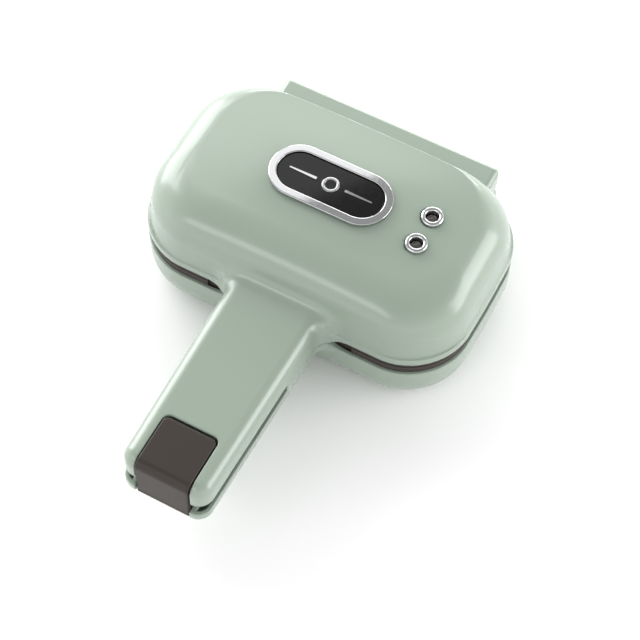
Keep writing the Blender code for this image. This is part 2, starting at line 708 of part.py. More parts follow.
def make_screws(base, lid):
    for number, (x, y) in enumerate(CORNER_POSTS, 1):
        make_screw(f"base_screw_{number}", x, y, BASE_SCREW_LOW, BASE_SCREW_TIP, True, base)
        make_screw(f"lid_screw_{number}", x, y, LID_SCREW_LOW, LID_SCREW_TIP, True, lid)
    for number, (x, y) in enumerate(PLATE_BOSSES, 1):
        low, high = REFLECTOR_Z - HEAD_H - GAP, PLATE_SCREW_TIP
        make_screw(f"lower_plate_screw_{number}", x, y, low, high, True, base)
        make_screw(f"upper_plate_screw_{number}", x, y, 2 * PART_Z - high, 2 * PART_Z - low, False, lid)


# --- The hinge, the latch and the feet ------------------------------------------------------------


def make_hinge_pins(parent):
    for name, side in (("hinge_pin_left", -1), ("hinge_pin_right", 1)):
        span = sorted((side * (EAR_X - PIN_HALF), side * (EAR_X + PIN_HALF)))
        node(rod_x(HINGE_Y, HINGE_Z, PIN_R, *span), name, "steel", parent)


def make_latch(parent):
    """An L-shaped rocker: a thumb plate, a front plate with a hook at its foot, and two lugs on the pin."""
    front, back, top, wall = LATCH_FRONT, LATCH_BACK, LATCH_TOP, LATCH_WALL
    bend = (front + LATCH_BEND, top - LATCH_BEND)
    profile = [(back, top)] + arc(bend, LATCH_BEND, 90, 180, 4)
    profile += [(front, LATCH_FOOT), (front + wall + HOOK, LATCH_FOOT)]
    profile += [(front + wall + HOOK, LATCH_FOOT + HOOK_H), (front + wall, LATCH_FOOT + HOOK_H)]
    profile += arc(bend, LATCH_BEND - wall, 180, 90, 2) + [(back, top - wall)]
    latch = prism_x(profile, -LATCH_HALF, LATCH_HALF)
    lug = [(PIVOT_Y - LUG_R, top - wall + 0.5)] + arc((PIVOT_Y, PIVOT_Z), LUG_R, 180, 360, 6)
    lug += [(PIVOT_Y + LUG_R, top - wall + 0.5)]
    for side in (-1, 1):
        join(latch, prism_x(lug, *sorted(side * x for x in LUG_SPAN)))
    cut(latch, rod_x(PIVOT_Y, PIVOT_Z, LATCH_PIN_HOLE_R, -LATCH_HALF, LATCH_HALF))
    node(latch, "latch", "brown_plastic", parent)


def make_latch_pin_and_spring(parent):
    half = NOTCH_HALF + 2
    node(rod_x(PIVOT_Y, PIVOT_Z, LATCH_PIN_R, -half, half), "latch_pin", "steel", parent)
    turns, per_turn, coil_r, wire_r, half, leg = 4, 8, 3.2, 0.45, 5.0, 7.0
    coil = [(-half, PIVOT_Y + leg, PIVOT_Z - coil_r)]
    for step in range(turns * per_turn + 1):
        angle = 2 * math.pi * step / per_turn - math.pi / 2
        x = -half + 2 * half * step / (turns * per_turn)
        coil.append((x, PIVOT_Y + coil_r * math.cos(angle), PIVOT_Z + coil_r * math.sin(angle)))
    coil.append((half, PIVOT_Y + leg, PIVOT_Z - coil_r))
    node(tube(coil, wire_r), "latch_spring", "steel", parent)


def make_feet(parent):
    for name, (x, y) in FEET.items():
        profile = [(FOOT_R - 1.0, 0.0), (FOOT_R, 0.8), (FOOT_R, FLOOR_Z - GAP)]
        profile += [(FOOT_STEM_R, FLOOR_Z - GAP), (FOOT_STEM_R, FLOOR_Z + 4.0)]
        node(turned(profile, x, BODY_Y + y), name, "rubber", parent)


# --- Wiring and controls --------------------------------------------------------------------------


def make_terminal_block(parent):
    """A ceramic block in the rear box, with three clamping posts."""
    low_y, high_y, low_z, top_z = BODY_BACK + 1.0, BODY_BACK + 9.0, 6.5, 15.0
    middle_x, half_x, pitch, post_r, post_h = -31.0, 11.0, 7.0, 2.6, 3.0
    made = block((middle_x - half_x, middle_x + half_x), (low_y, high_y), (low_z, top_z))
    for x in (middle_x - pitch, middle_x, middle_x + pitch):
        join(made, rod_z(x, (low_y + high_y) / 2, post_r, top_z - 1, top_z + post_h, 10))
    node(made, "terminal_block", "ceramic", parent)


def make_cord_bush(parent):
    """A bush for the supply cord, flanged inside the rear wall and flush outside it."""
    nose, flange, bore = 4.9, 5.9, 3.3
    outer, wall_in, inner = REAR_Y - GAP, REAR_Y - SHELL - GAP, REAR_Y - SHELL - 3
    profile = [(nose, outer), (nose, wall_in), (flange, wall_in), (flange, inner)]
    profile += [(bore, inner), (bore, outer)]
    rings = [[(BUSH_X + r * math.cos(a), y, BUSH_Z + r * math.sin(a)) for a in
              (2 * math.pi * step / RING_STEPS for step in range(RING_STEPS))] for r, y in profile]
    node(skin(rings, closed=True), "cord_bush", "rubber", parent)


def make_leads(base, lid):
    """The supply leads cross the hinge along its axis, so the two lengths only twist there."""
    x = LOWER_LEAD_X
    down = [(-GAP / 2, HINGE_Y, HINGE_Z), (x + 8, HINGE_Y, HINGE_Z), (x + 2.4, HINGE_Y, HINGE_Z - 1.4),
            (x, HINGE_Y, HINGE_Z - 6), (x, HINGE_Y, 22), (x, HINGE_Y - 1, 16),
            (x - 1.4, HINGE_Y - 2, 12.6), (x - 4.4, HINGE_Y - 2, 11)]
    node(tube(smooth_path(down, 3), 1.5), "lower_leads", "silicone_lead", base)
    x, z, rise_y = UPPER_LEAD_X, UPPER_LEAD_Z, BODY_BACK - 7.5
    up = [(GAP / 2, HINGE_Y, HINGE_Z), (x - 8, HINGE_Y, HINGE_Z), (x - 2.5, HINGE_Y - 1.2, HINGE_Z + 0.8),
          (x, HINGE_Y - 4.5, z - 0.5), (x, BODY_BACK, z), (x, rise_y + 1.5, z + 0.5),
          (x, rise_y, z + 5.1), (x, rise_y, 54.8), (x - 1, rise_y - 3.8, 59), (x - 3, BODY_BACK - 26, 60.5),
          (x - 4, BODY_Y + 6, 59.5), (x - 4.3, BODY_Y, 58.5)]
    node(tube(smooth_path(up, 3), 1.15), "upper_leads", "silicone_lead", lid)


def make_thermostat(parent):
    z = 2 * PART_Z - REFLECTOR_Z + GAP
    made = turned([(8.0, z), (8.0, z + 4), (6.5, z + 4.6), (6.5, z + 7.5)], 0, BODY_Y, steps=RING_STEPS)
    for y in (-4, 4):
        join(made, block((-3, 3), (BODY_Y + y - 0.4, BODY_Y + y + 0.4), (z + 7, z + 13)))
    node(made, "thermostat", "bakelite", parent)


def make_thermal_fuse(parent):
    z = 2 * PART_Z - REFLECTOR_Z + GAP + 2.2
    made = rod_x(BODY_Y + 8, z, 1.9, -36, -24, 10)
    join(made, rod_x(BODY_Y + 8, z, 0.7, -42, -18, 6))
    node(made, "thermal_fuse", "ceramic", parent)


def make_lamps(parent):
    """Each signal lamp is a small bulb, a smoked lens above it, and a chrome bezel in the dome."""
    seat = LAMP_SEAT + GAP
    bezel = [(3.4, seat - 4), (4.2, seat - 4), (4.2, seat), (BEZEL_R, seat), (BEZEL_R, seat + 1.4),
             (BEZEL_R - 0.8, seat + 2.2), (BEZEL_R - 1.8, seat + 2.2), (3.4, seat + 1.0)]
    lens = [(3.1, seat - 3.5), (3.1, seat + 0.1), (2.4, seat + 0.6), (1.2, seat + 0.8)]
    bulb = [(2.4, seat - 11), (2.4, seat - 5.6), (1.7, seat - 4.4), (0.8, seat - 3.9)]
    for name, y in LAMPS.items():
        node(turned(bezel, LAMP_X, y, closed=True, steps=RING_STEPS), f"{name}_bezel", "chrome", parent)
        node(turned(lens, LAMP_X, y), f"{name}_lens", "smoke_lens", parent)
        node(turned(bulb, LAMP_X, y), f"{name}_lamp", "lamp_glass", parent)


def make_badge(parent):
    seat = BADGE_SEAT + GAP
    top = DOME_TOP + 0.6
    rim = [(0.0, seat), (0.0, top - 0.5), (0.6, top)]
    rim += [(BADGE_RIM - 1.0, top), (BADGE_RIM, top - 0.7), (BADGE_RIM, seat)]
    node(stack([(z, stadium(inset)) for inset, z in rim], closed=True), "badge_rim", "chrome", parent)
    edge = BADGE_RIM + GAP
    node(stack([(seat, stadium(edge)), (top - 0.9, stadium(edge))]), "badge_plate", "badge_black", parent)


def build():
    clear_scene()
    base = empty("base", (0, BODY_Y, 0))
    lid = empty("lid_hinge_axis", (0, HINGE_Y, HINGE_Z))
    latch = empty("latch_pivot_axis", (0, PIVOT_Y, PIVOT_Z), parent=lid)
    make_lower_cover(base)
    make_upper_cover(lid)
    for half, upper, parent in (("lower", False, base), ("upper", True, lid)):
        make_frame(half, upper, parent)
        make_plate(half, upper, parent)
        make_heater(half, upper, parent)
        make_reflector(half, upper, parent)
    make_screws(base, lid)
    make_hinge_pins(base)
    make_latch(latch)
    make_latch_pin_and_spring(lid)
    make_feet(base)
    make_terminal_block(base)
    make_cord_bush(base)
    make_leads(base, lid)
    make_thermostat(lid)
    make_thermal_fuse(lid)
    make_lamps(lid)
    make_badge(lid)


build()
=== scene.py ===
"""The looks of the donut maker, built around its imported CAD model.

Shapes are worked out in millimetres and turned into metres where a mesh is made. The moulded pieces are
fields of signed distance, negative inside, which are turned into meshes with their edges rounded as a mould
rounds them.
"""

import json
import math

import bmesh
import bpy
import numpy as np
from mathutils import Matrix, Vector


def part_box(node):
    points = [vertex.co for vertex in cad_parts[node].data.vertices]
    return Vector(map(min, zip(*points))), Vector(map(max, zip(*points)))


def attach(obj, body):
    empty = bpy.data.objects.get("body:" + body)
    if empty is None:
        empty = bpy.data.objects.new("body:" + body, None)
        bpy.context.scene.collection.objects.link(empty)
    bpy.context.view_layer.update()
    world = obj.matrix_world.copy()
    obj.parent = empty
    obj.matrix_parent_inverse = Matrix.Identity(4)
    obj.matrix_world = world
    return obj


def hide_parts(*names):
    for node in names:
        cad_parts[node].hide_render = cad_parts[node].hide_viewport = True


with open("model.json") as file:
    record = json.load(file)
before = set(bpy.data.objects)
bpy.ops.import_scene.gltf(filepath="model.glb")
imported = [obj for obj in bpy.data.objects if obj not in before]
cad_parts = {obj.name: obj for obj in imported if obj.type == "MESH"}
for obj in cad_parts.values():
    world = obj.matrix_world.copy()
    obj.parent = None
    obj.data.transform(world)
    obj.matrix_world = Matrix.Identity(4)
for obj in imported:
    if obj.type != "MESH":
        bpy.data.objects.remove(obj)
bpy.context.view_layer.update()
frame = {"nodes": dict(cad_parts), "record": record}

MM = 0.001


def box_mm(node):
    """A CAD node's lowest and highest corners, in millimetres."""
    return [np.array(corner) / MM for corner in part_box(node)]


def middle_mm(node):
    low, high = box_mm(node)
    return (low + high) / 2


# --- Measures read from the CAD model -----------------------------------------------------------------

PLATE_INSET = 11.2
PLATE_LOW, PLATE_HIGH = box_mm("lower_plate")
UPPER_PLATE_LOW = box_mm("upper_plate")[0]
BODY_HALF = PLATE_HIGH[0] + PLATE_INSET
BODY_FRONT = PLATE_LOW[1] - PLATE_INSET
BODY_BACK = PLATE_HIGH[1] + PLATE_INSET
BODY_Y = (BODY_FRONT + BODY_BACK) / 2
BODY_HALF_D = (BODY_BACK - BODY_FRONT) / 2
PART_Z = (PLATE_HIGH[2] + UPPER_PLATE_LOW[2]) / 2
FLOOR_Z = box_mm("lower_cover")[0][2]
DOME_TOP = box_mm("upper_cover")[1][2]
HANDLE_END = box_mm("lower_cover")[0][1]
UPPER_HANDLE_END = box_mm("upper_cover")[0][1]
REAR_Y = box_mm("upper_cover")[1][1]
HINGE = middle_mm("hinge_pin_left")
HINGE_Y, HINGE_Z = HINGE[1], HINGE[2]
EAR_X = abs(HINGE[0])
PIVOT = middle_mm("latch_pin")
LATCH_LOW, LATCH_HIGH = box_mm("latch")
BUSH = middle_mm("cord_bush")
POSTS = [middle_mm(f"base_screw_{number}")[:2] for number in range(1, 5)]
POST_X, POST_Y = abs(POSTS[0][0]), abs(POSTS[0][1] - BODY_Y)
BOSS_X = abs(middle_mm("lower_plate_screw_1")[0])
LAMPS = {name: middle_mm(f"{name}_bezel") for name in ("ready", "power")}
FEET = [name for name in frame["nodes"] if name.startswith("foot_")]
FOOT = middle_mm("foot_rear_right")
FOOT_X, FOOT_Y = FOOT[0], FOOT[1] - BODY_Y
REFLECTOR_LOW, REFLECTOR_HIGH = box_mm("lower_reflector")
BEZEL_LOW, BEZEL_HIGH = box_mm("ready_bezel")
LAMP_R = (BEZEL_HIGH - BEZEL_LOW)[0] / 2
BADGE_LOW, BADGE_HIGH = box_mm("badge_rim")
BADGE_HALF_L, BADGE_HALF_W = BADGE_HIGH[0], (BADGE_HIGH[1] - BADGE_LOW[1]) / 2

# --- Shape of the housings, which the CAD model holds in facets ---------------------------------------

GAP = 0.3
SHELL = 2.4
CORNER_R = 34.0
TOP_R = 26.4
END_BOW = 2.0
BAND_HALF, BAND_LOW = 4.0, 5.2
BAND_INSET, SPIGOT_INSET, BAND_GAP_HALF = 1.4, 3.0, 42.0
LIP_TOP = PART_Z + 8.9
DRAFT, DRAFT_TOP = 1.0, 2.3
SHOULDER_Z = PART_Z + 20.5
CROWN, CROWN_REACH = 3.4, 1.25
ARCH, ARCH_HALF = 1.5, 60.0
SHOULDER_H = DOME_TOP - CROWN - ARCH - SHOULDER_Z
END_ROLL, FRONT_ROLL, BACK_ROLL, BACK_LEAN = 18.4, 24.2, 2.0, 9.2
BOTTOM_IN, BOTTOM_H = 9.0, 15.0
HANDLE_TOP = PART_Z + 21.5
HANDLE_ROLL = 7.0
HANDLE_CORNER = 8.0
HANDLE_BOTTOM = PART_Z - 8.7
HANDLE_REACH = BODY_FRONT + 26
HANDLE_ROOT, HANDLE_TIP = 26.0, 24.0
NECK_R = 10.0
NECK_Y = BODY_FRONT - NECK_R
NECK_FLARE = 8.0
NECK_FILLET = 6.0
SLOT_Y = BODY_FRONT - 36.0
SLOT_TOP = PART_Z + 6.5
BARREL_R, BARREL_WALL, BARREL_HALF, BARREL_TOP = 7.5, 2.2, 64.0, PART_Z + 13.5
EAR_HALF, EAR_R, EAR_FOOT, EAR_SLOT, CHEEK = 4.0, 4.5, 20.0, 5.0, 2.4
REAR_BOX_TOP = HINGE_Z - BARREL_R - 1.5
REAR_BOX_FRONT = BODY_BACK - 12
BARREL_FRONT = BODY_BACK - 10
NOTCH_HALF = LATCH_HIGH[0] + 0.6
NOTCH_BACK = LATCH_HIGH[1] + 1.5
NOTCH_CORNER = 3.6
LATCH_WALL = 3.0
LATCH_BEND = 5.0
HOOK, HOOK_H, CATCH_PLAY = 3.5, 2.4, 1.2
LUG_R = 3.6
LUG_SPAN = (9.5, 12.5)
NOTCH_WALL = 2.2
NOSE_HALF, NOSE_D = 18.0, 12.0
BADGE_RIM = BADGE_HALF_L - box_mm("badge_plate")[1][0] - GAP
LAMP_SEAT = BEZEL_LOW[2] + 4.0 - GAP
LAMP_HOLE_R = 4.5

# Plates, frames and screws
RING_R, TUBE_R, PLATE_WALL, PLATE_T = 14.0, 7.0, 2.0, 2.1
PITCH_X, PITCH_Y = 48.0, 44.0
POST_R, SCREW_HOLE_R, HEAD_HOLE_R = 4.0, 1.8, 3.4
FRAME_INSET, SPIGOT_HALF, SPIGOT_WALL, LEDGE_T = 10.8, 7.5, 2.0, 3.4
LINER_DEPTH = {"upper_frame": 5.5, "lower_frame": 2.5}

# Holes for the pins, the leads, the cord's bush and the feet
HINGE_PIN_HOLE_R, LATCH_PIN_HOLE_R = 2.0, 1.8
LOWER_LEAD_X, LOWER_LEAD_R, LEAD_SLOT_HALF = -15.0, 2.4, 4.0
UPPER_LEAD_X, UPPER_LEAD_R, UPPER_LEAD_RISE = 14.0, 1.9, 3.9
BUSH_HOLE_R, FOOT_HOLE_R = 5.2, 2.7

# The rounding of a moulded edge, and of one that is out of sight
EDGE = 0.5
CRISP = 0.1


# --- Fields of distance -------------------------------------------------------------------------------


def both(a, b, r=EDGE):
    """What lies in both fields, with a rounded edge where they meet."""
    corner = np.hypot(np.maximum(a + r, 0), np.maximum(b + r, 0))
    return np.minimum(np.maximum(a, b), -r) + corner


def either(a, b, r=EDGE):
    """What lies in one field or the other, with a fillet where they meet."""
    corner = np.hypot(np.maximum(r - a, 0), np.maximum(r - b, 0))
    return np.maximum(np.minimum(a, b), r) - corner


def without(a, b, r=EDGE):
    return both(a, -b, r)


def between(value, low, high):
    return np.maximum(low - value, value - high)


def brick(x, y, z, span_x, span_y, span_z, r=EDGE):
    """A box with rounded edges, from three (low, high) pairs."""
    return both(both(between(x, *span_x), between(y, *span_y), r), between(z, *span_z), r)


def plan(x, y, ends=0.0, front=0.0, back=0.0, radius=CORNER_R):
    """Distance from the body's outline seen from above, set in by a distance on each side."""
    bow = 1 - END_BOW / BODY_HALF * np.minimum(((y - BODY_Y) / BODY_HALF_D) ** 2, 1.3)
    half_x, half_y = BODY_HALF - ends, BODY_HALF_D - (front + back) / 2
    radius = np.minimum(radius, half_y)
    across = np.abs(x / bow) - half_x + radius
    along = np.abs(y - BODY_Y - (front - back) / 2) - half_y + radius
    corner = np.hypot(np.maximum(across, 0), np.maximum(along, 0))
    return corner + np.minimum(np.maximum(across, along), 0) - radius


def inset_plan(x, y, inset):
    return plan(x, y, inset, inset, inset, CORNER_R - inset)


def ramp(value, low, high):
    """Rises from 0 to 1 in a straight line between two values."""
    return np.clip((value - low) / (high - low), 0, 1)


def shoulder_plan(x, y, z, turn):
    """The outline where the shoulder has turned in by a share of its roll, 0 at the wall and 1 on top."""
    radius = CORNER_R + (TOP_R - CORNER_R) * np.clip(turn, 0, 1)
    draft = DRAFT + (DRAFT_TOP - DRAFT) * ramp(z, LIP_TOP, SHOULDER_Z)
    rise = (z - SHOULDER_Z) / SHOULDER_H
    lean = BACK_LEAN * np.where(np.abs(rise) < 0.2, (rise + 0.2) ** 2 / 0.8, np.clip(rise, 0, 1))
    ends, front, back = (draft + roll * turn for roll in (END_ROLL, FRONT_ROLL, BACK_ROLL))
    return plan(x, y, ends, front, back + lean, radius)


def dome(x, y, z):
    """The lid's dome, which runs on without end below its shoulder."""
    turn, step = 1.0, 0.02
    for _ in range(7):
        value = shoulder_plan(x, y, z, turn)
        reach = (shoulder_plan(x, y, z, turn + step) - value) / step
        turn = np.clip(turn - value / np.maximum(reach, 1.0), -12.0, 6.0)
    reach = np.maximum(reach, 2.0)
    middle = BODY_Y + (FRONT_ROLL - BACK_ROLL - BACK_LEAN) / 2
    half_x = BODY_HALF - DRAFT_TOP - END_ROLL
    half_y = BODY_HALF_D - DRAFT_TOP - (FRONT_ROLL + BACK_ROLL + BACK_LEAN) / 2
    away = (np.abs(x / half_x) ** 3 + np.abs((y - middle) / half_y) ** 3) ** (2 / 3) / CROWN_REACH**2
    crown = CROWN * np.maximum(1 - away, 0) ** 2
    height = SHOULDER_H + ARCH * np.maximum(1 - (x / ARCH_HALF) ** 2, -0.5)
    across, up = np.maximum(1 - turn, 0), np.maximum(z - SHOULDER_Z - crown, 0) / height
    size = np.maximum(np.hypot(across, up), 1e-6)
    return (size - 1) / np.maximum(np.hypot(across / reach, up / height) / size, 1e-3)


def handle_plan(x, y, end):
    """Distance from the handle's outline seen from above, with the flare where it leaves the body."""
    along = np.clip((NECK_Y - y) / (NECK_Y - HANDLE_END), 0, 1.1)
    rise = np.clip(y - NECK_Y, 0, NECK_FLARE)
    level = np.sqrt(NECK_R**2 - rise**2)
    half = HANDLE_ROOT - (HANDLE_ROOT - HANDLE_TIP) * along + NECK_R - level
    side = (np.abs(x) - half) * level / NECK_R
    return both(side, end - y, HANDLE_CORNER)


def barrel(y, z, radius):
    """The hinge barrel's section: round about the pin, and square above it and forward to the dome."""
    top = BARREL_TOP - BARREL_R + radius
    back = y - HINGE_Y - radius
    front = both(both(BARREL_FRONT - y, back, CRISP), both(HINGE_Z - z, z - top, CRISP), CRISP)
    front = both(front, both(back, z - top, 3.2), CRISP)
    skirt = both(between(y, BARREL_FRONT, HINGE_Y), between(z, PART_Z + BAND_HALF, HINGE_Z + radius), CRISP)
    return np.minimum(np.minimum(np.hypot(y - HINGE_Y, z - HINGE_Z) - radius, front), skirt)


def barrel_hollow(y, z):
    """The barrel's inside and its mouth below."""
    radius = BARREL_R - BARREL_WALL
    top = BARREL_TOP - BARREL_WALL
    deep, high = both(BODY_BACK + GAP - y, y - HINGE_Y - radius, CRISP), both(HINGE_Z - z, z - top, CRISP)
    front = both(deep, high, 0.8)
    lean = (y - HINGE_Y) * math.sin(math.radians(60)) + (z - HINGE_Z) * math.cos(math.radians(60))
    mouth = np.maximum(np.maximum(lean, z - HINGE_Z - 0.5), BODY_BACK + GAP - y)
    return np.minimum(np.minimum(np.hypot(y - HINGE_Y, z - HINGE_Z) - radius, front), mouth)


def stadium(x, y, half_l, half_w):
    return np.hypot(np.maximum(np.abs(x) - half_l + half_w, 0), y - BODY_Y) - half_w


def upper_cover(x, y, z):
    """The lid's housing: the dome, the upper half of the handle and the hinge barrel, all hollow."""
    side_x = np.abs(x)
    lip = both(plan(x, y), z - LIP_TOP, 0.8)
    vault = dome(x, y, z)
    shell = both(either(vault, lip, 0.5), PART_Z + BAND_HALF - z, 0.4)
    outline = handle_plan(x, y, UPPER_HANDLE_END)
    handle = both(outline, z - HANDLE_TOP, HANDLE_ROLL)
    handle = both(handle, PART_Z + GAP - z, 0.4)
    handle = both(handle, y - HANDLE_REACH, CRISP)
    body = either(shell, handle, NECK_FILLET)
    body = either(body, both(barrel(y, z, BARREL_R), side_x - BARREL_HALF, 3.4), 0.8)

    hollow = np.minimum(vault + SHELL, both(plan(x, y) + SHELL, z - LIP_TOP, 0.4))
    inner = both(outline + SHELL, z - HANDLE_TOP + SHELL, HANDLE_ROLL - SHELL)
    hollow = either(hollow, both(inner, y - HANDLE_REACH, CRISP), 1.5)
    post = np.hypot(side_x - POST_X, np.abs(y - BODY_Y) - POST_Y)
    seat = 2 * PART_Z - REFLECTOR_LOW[2] + GAP
    hollow = np.maximum(hollow, -np.maximum(post - POST_R, seat - z))
    rib = between(side_x, NOTCH_HALF, NOTCH_HALF + NOTCH_WALL)
    rib = np.maximum(np.maximum(rib, y - NOTCH_BACK - NOTCH_WALL), PART_Z + 7 - z)
    web = np.maximum(between(y, NOTCH_BACK, NOTCH_BACK + NOTCH_WALL), side_x - NOTCH_HALF - 1)
    web = np.maximum(web, PART_Z + 11 - z)
    hollow = np.maximum(hollow, -np.minimum(rib, web))
    body = without(body, hollow, 0.4)

    body = without(body, both(barrel_hollow(y, z), side_x - BARREL_HALF + BARREL_WALL, 0.4), 0.4)
    cheek = np.minimum(between(side_x, EAR_X - EAR_SLOT - CHEEK, EAR_X - EAR_SLOT),
                       between(side_x, EAR_X + EAR_SLOT, EAR_X + EAR_SLOT + CHEEK))
    cheek = np.maximum(np.maximum(cheek, barrel(y, z, BARREL_R - 1)), BODY_BACK - 0.8 - y)
    body = np.minimum(body, cheek)
    lead = between(x, LOWER_LEAD_X - LEAD_SLOT_HALF, LOWER_LEAD_X + LEAD_SLOT_HALF)
    slots = np.minimum(between(side_x, EAR_X - EAR_SLOT, EAR_X + EAR_SLOT), lead)
    slots = np.maximum(np.maximum(slots, BODY_BACK + GAP - y), z - HINGE_Z - BARREL_R + BARREL_WALL)
    body = without(body, slots, 0.4)
    pin = both(np.hypot(y - HINGE_Y, z - HINGE_Z) - HINGE_PIN_HOLE_R, side_x - EAR_X - 9.2, CRISP)
    body = without(body, pin, 0.2)
    lead = np.hypot(x - UPPER_LEAD_X, z - HINGE_Z - UPPER_LEAD_RISE) - UPPER_LEAD_R
    body = without(body, both(lead, between(y, BODY_BACK - 7, BODY_BACK + 2), CRISP), 0.2)

    slot = both(both(y - SLOT_Y, z - SLOT_TOP, 1.2), -z, CRISP)
    body = without(body, slot, 0.5)
    mouth = both(both(side_x - NOTCH_HALF, y - NOTCH_BACK, NOTCH_CORNER), HANDLE_TOP - 4.0 - z, CRISP)
    front = both(side_x - NOTCH_HALF, y - LATCH_LOW[1] - LATCH_WALL - 0.8, CRISP)
    body = without(body, np.minimum(mouth, front), 0.7)
    pin = both(np.hypot(y - PIVOT[1], z - PIVOT[2]) - LATCH_PIN_HOLE_R, side_x - NOTCH_HALF - SHELL, CRISP)
    body = without(body, pin, 0.2)
    badge = both(stadium(x, y, BADGE_HALF_L + GAP, BADGE_HALF_W + GAP), BADGE_LOW[2] - GAP - z, 0.2)
    body = without(body, badge, 0.25)
    for place in LAMPS.values():
        around = np.hypot(x - place[0], y - place[1])
        seating = both(around - LAMP_R - GAP, LAMP_SEAT - z, CRISP)
        through = both(around - LAMP_HOLE_R, LAMP_SEAT - 8 - z, CRISP)
        body = without(body, np.minimum(seating, through), 0.25)
    return without(body, both(post - SCREW_HOLE_R, between(z, seat - 2, seat + 6.5), CRISP), 0.2)


def pan(x, y, z, wall=0.0):
    """The base's bowl, which runs on without end above its wall."""
    across = np.maximum(1 + (plan(x, y) + wall) / BOTTOM_IN, 0)
    up = np.maximum(1 - (z - FLOOR_Z - wall) / (BOTTOM_H - wall), 0)
    size = np.maximum(np.hypot(across, up), 1e-6)
    return (size - 1) / np.maximum(np.hypot(across / BOTTOM_IN, up / BOTTOM_H) / size, 1e-3)


def lower_cover(x, y, z):
    """The base's housing: the bowl, the lower half of the handle, the box behind it and the hinge's ears."""
    side_x = np.abs(x)
    bowl = both(pan(x, y, z), z - PART_Z + BAND_LOW, 0.6)
    outline = handle_plan(x, y, HANDLE_END)
    handle = both(both(outline, HANDLE_BOTTOM - z, 5.0), z - PART_Z + GAP, 0.7)
    handle = both(handle, y - HANDLE_REACH, CRISP)
    body = either(bowl, handle, NECK_FILLET)
    deep, high = both(REAR_BOX_FRONT - y, y - REAR_Y, CRISP), both(FLOOR_Z - z, z - REAR_BOX_TOP, CRISP)
    rear = both(deep, high, CRISP)
    rear = np.maximum(rear, both(y - REAR_Y, FLOOR_Z - z, 6.0))
    rear = np.maximum(rear, both(y - REAR_Y, z - REAR_BOX_TOP, 1.5))
    rear = both(rear, side_x - BARREL_HALF, 2.4)
    body = either(body, rear, 1.0)

    inner = both(both(outline + SHELL, HANDLE_BOTTOM + SHELL - z, 3.0), y - HANDLE_REACH, CRISP)
    hollow = either(pan(x, y, z, SHELL), inner, 1.0)
    deep = both(REAR_BOX_FRONT - y, y - REAR_Y + SHELL, CRISP)
    high = both(FLOOR_Z + SHELL - z, z - REAR_BOX_TOP + SHELL, CRISP)
    hollow = np.minimum(hollow, both(both(deep, high, CRISP), side_x - BARREL_HALF + SHELL, 1.0))
    post = np.hypot(side_x - POST_X, np.abs(y - BODY_Y) - POST_Y)
    nose = np.maximum(np.maximum(side_x - NOSE_HALF, y - HANDLE_END - NOSE_D), z - PART_Z + GAP)
    solid = np.minimum(np.maximum(post - POST_R, z - REFLECTOR_LOW[2] + GAP), nose)
    body = without(body, np.maximum(hollow, -solid), 0.4)

    axis = np.hypot(y - HINGE_Y, z - HINGE_Z)
    ear = np.minimum(axis, np.where(z < HINGE_Z, np.abs(y - HINGE_Y), 99)) - EAR_R
    ear = both(np.maximum(ear, EAR_FOOT - z), np.abs(side_x - EAR_X) - EAR_HALF, 0.5)
    body = np.minimum(body, ear)
    body = without(body, both(axis - HINGE_PIN_HOLE_R, np.abs(side_x - EAR_X) - 6, CRISP), 0.2)

    face = LATCH_LOW[1] + LATCH_WALL + GAP
    notch = both(side_x - NOTCH_HALF, y - face, CRISP)
    catch = both(side_x - NOTCH_HALF, y - face - HOOK, CRISP)
    catch = both(catch, z - LATCH_LOW[2] - HOOK_H - CATCH_PLAY, CRISP)
    body = without(body, np.minimum(notch, catch), 0.6)
    lead = np.hypot(x - LOWER_LEAD_X, y - HINGE_Y) - LOWER_LEAD_R
    body = without(body, both(lead, between(z, 20, 30), CRISP), 0.3)
    bush = np.hypot(x - BUSH[0], z - BUSH[2]) - BUSH_HOLE_R
    body = without(body, both(bush, between(y, REAR_Y - 7, REAR_Y + 2), CRISP), 0.3)
    screw = np.minimum(post - SCREW_HOLE_R, both(post - HEAD_HOLE_R, z - 6.7, CRISP))
    body = without(body, both(screw, z - REFLECTOR_LOW[2] - 2, CRISP), 0.2)
    foot = np.hypot(side_x - FOOT_X, np.abs(y - BODY_Y) - FOOT_Y)
    return without(body, both(foot - FOOT_HOLE_R, z - 8, CRISP), 0.2)


def lower_plate(x, y, z):
    """The cast plate: six ring moulds that bulge from its back, and two bosses."""
    face = PLATE_HIGH[2]
    slab = both(inset_plan(x, y, PLATE_INSET), between(z, face - PLATE_T, face), EDGE)
    cell_x = x - PITCH_X * np.clip(np.round(x / PITCH_X), -1, 1)
    cell_y = np.abs(y - BODY_Y) - PITCH_Y / 2
    ring = np.hypot(np.hypot(cell_x, cell_y) - RING_R, z - face)
    body = either(slab, both(ring - TUBE_R - PLATE_WALL, z - face, CRISP), 1.2)
    boss = np.hypot(np.abs(x) - BOSS_X, y - BODY_Y)
    body = either(body, both(boss - POST_R, between(z, PLATE_LOW[2], face - 1), 0.4), 1.2)
    body = without(body, both(boss - SCREW_HOLE_R, z - face + 6, CRISP), 0.2)
    return without(body, ring - TUBE_R, 0.9)


def upper_plate(x, y, z):
    return lower_plate(x, y, 2 * PART_Z - z)


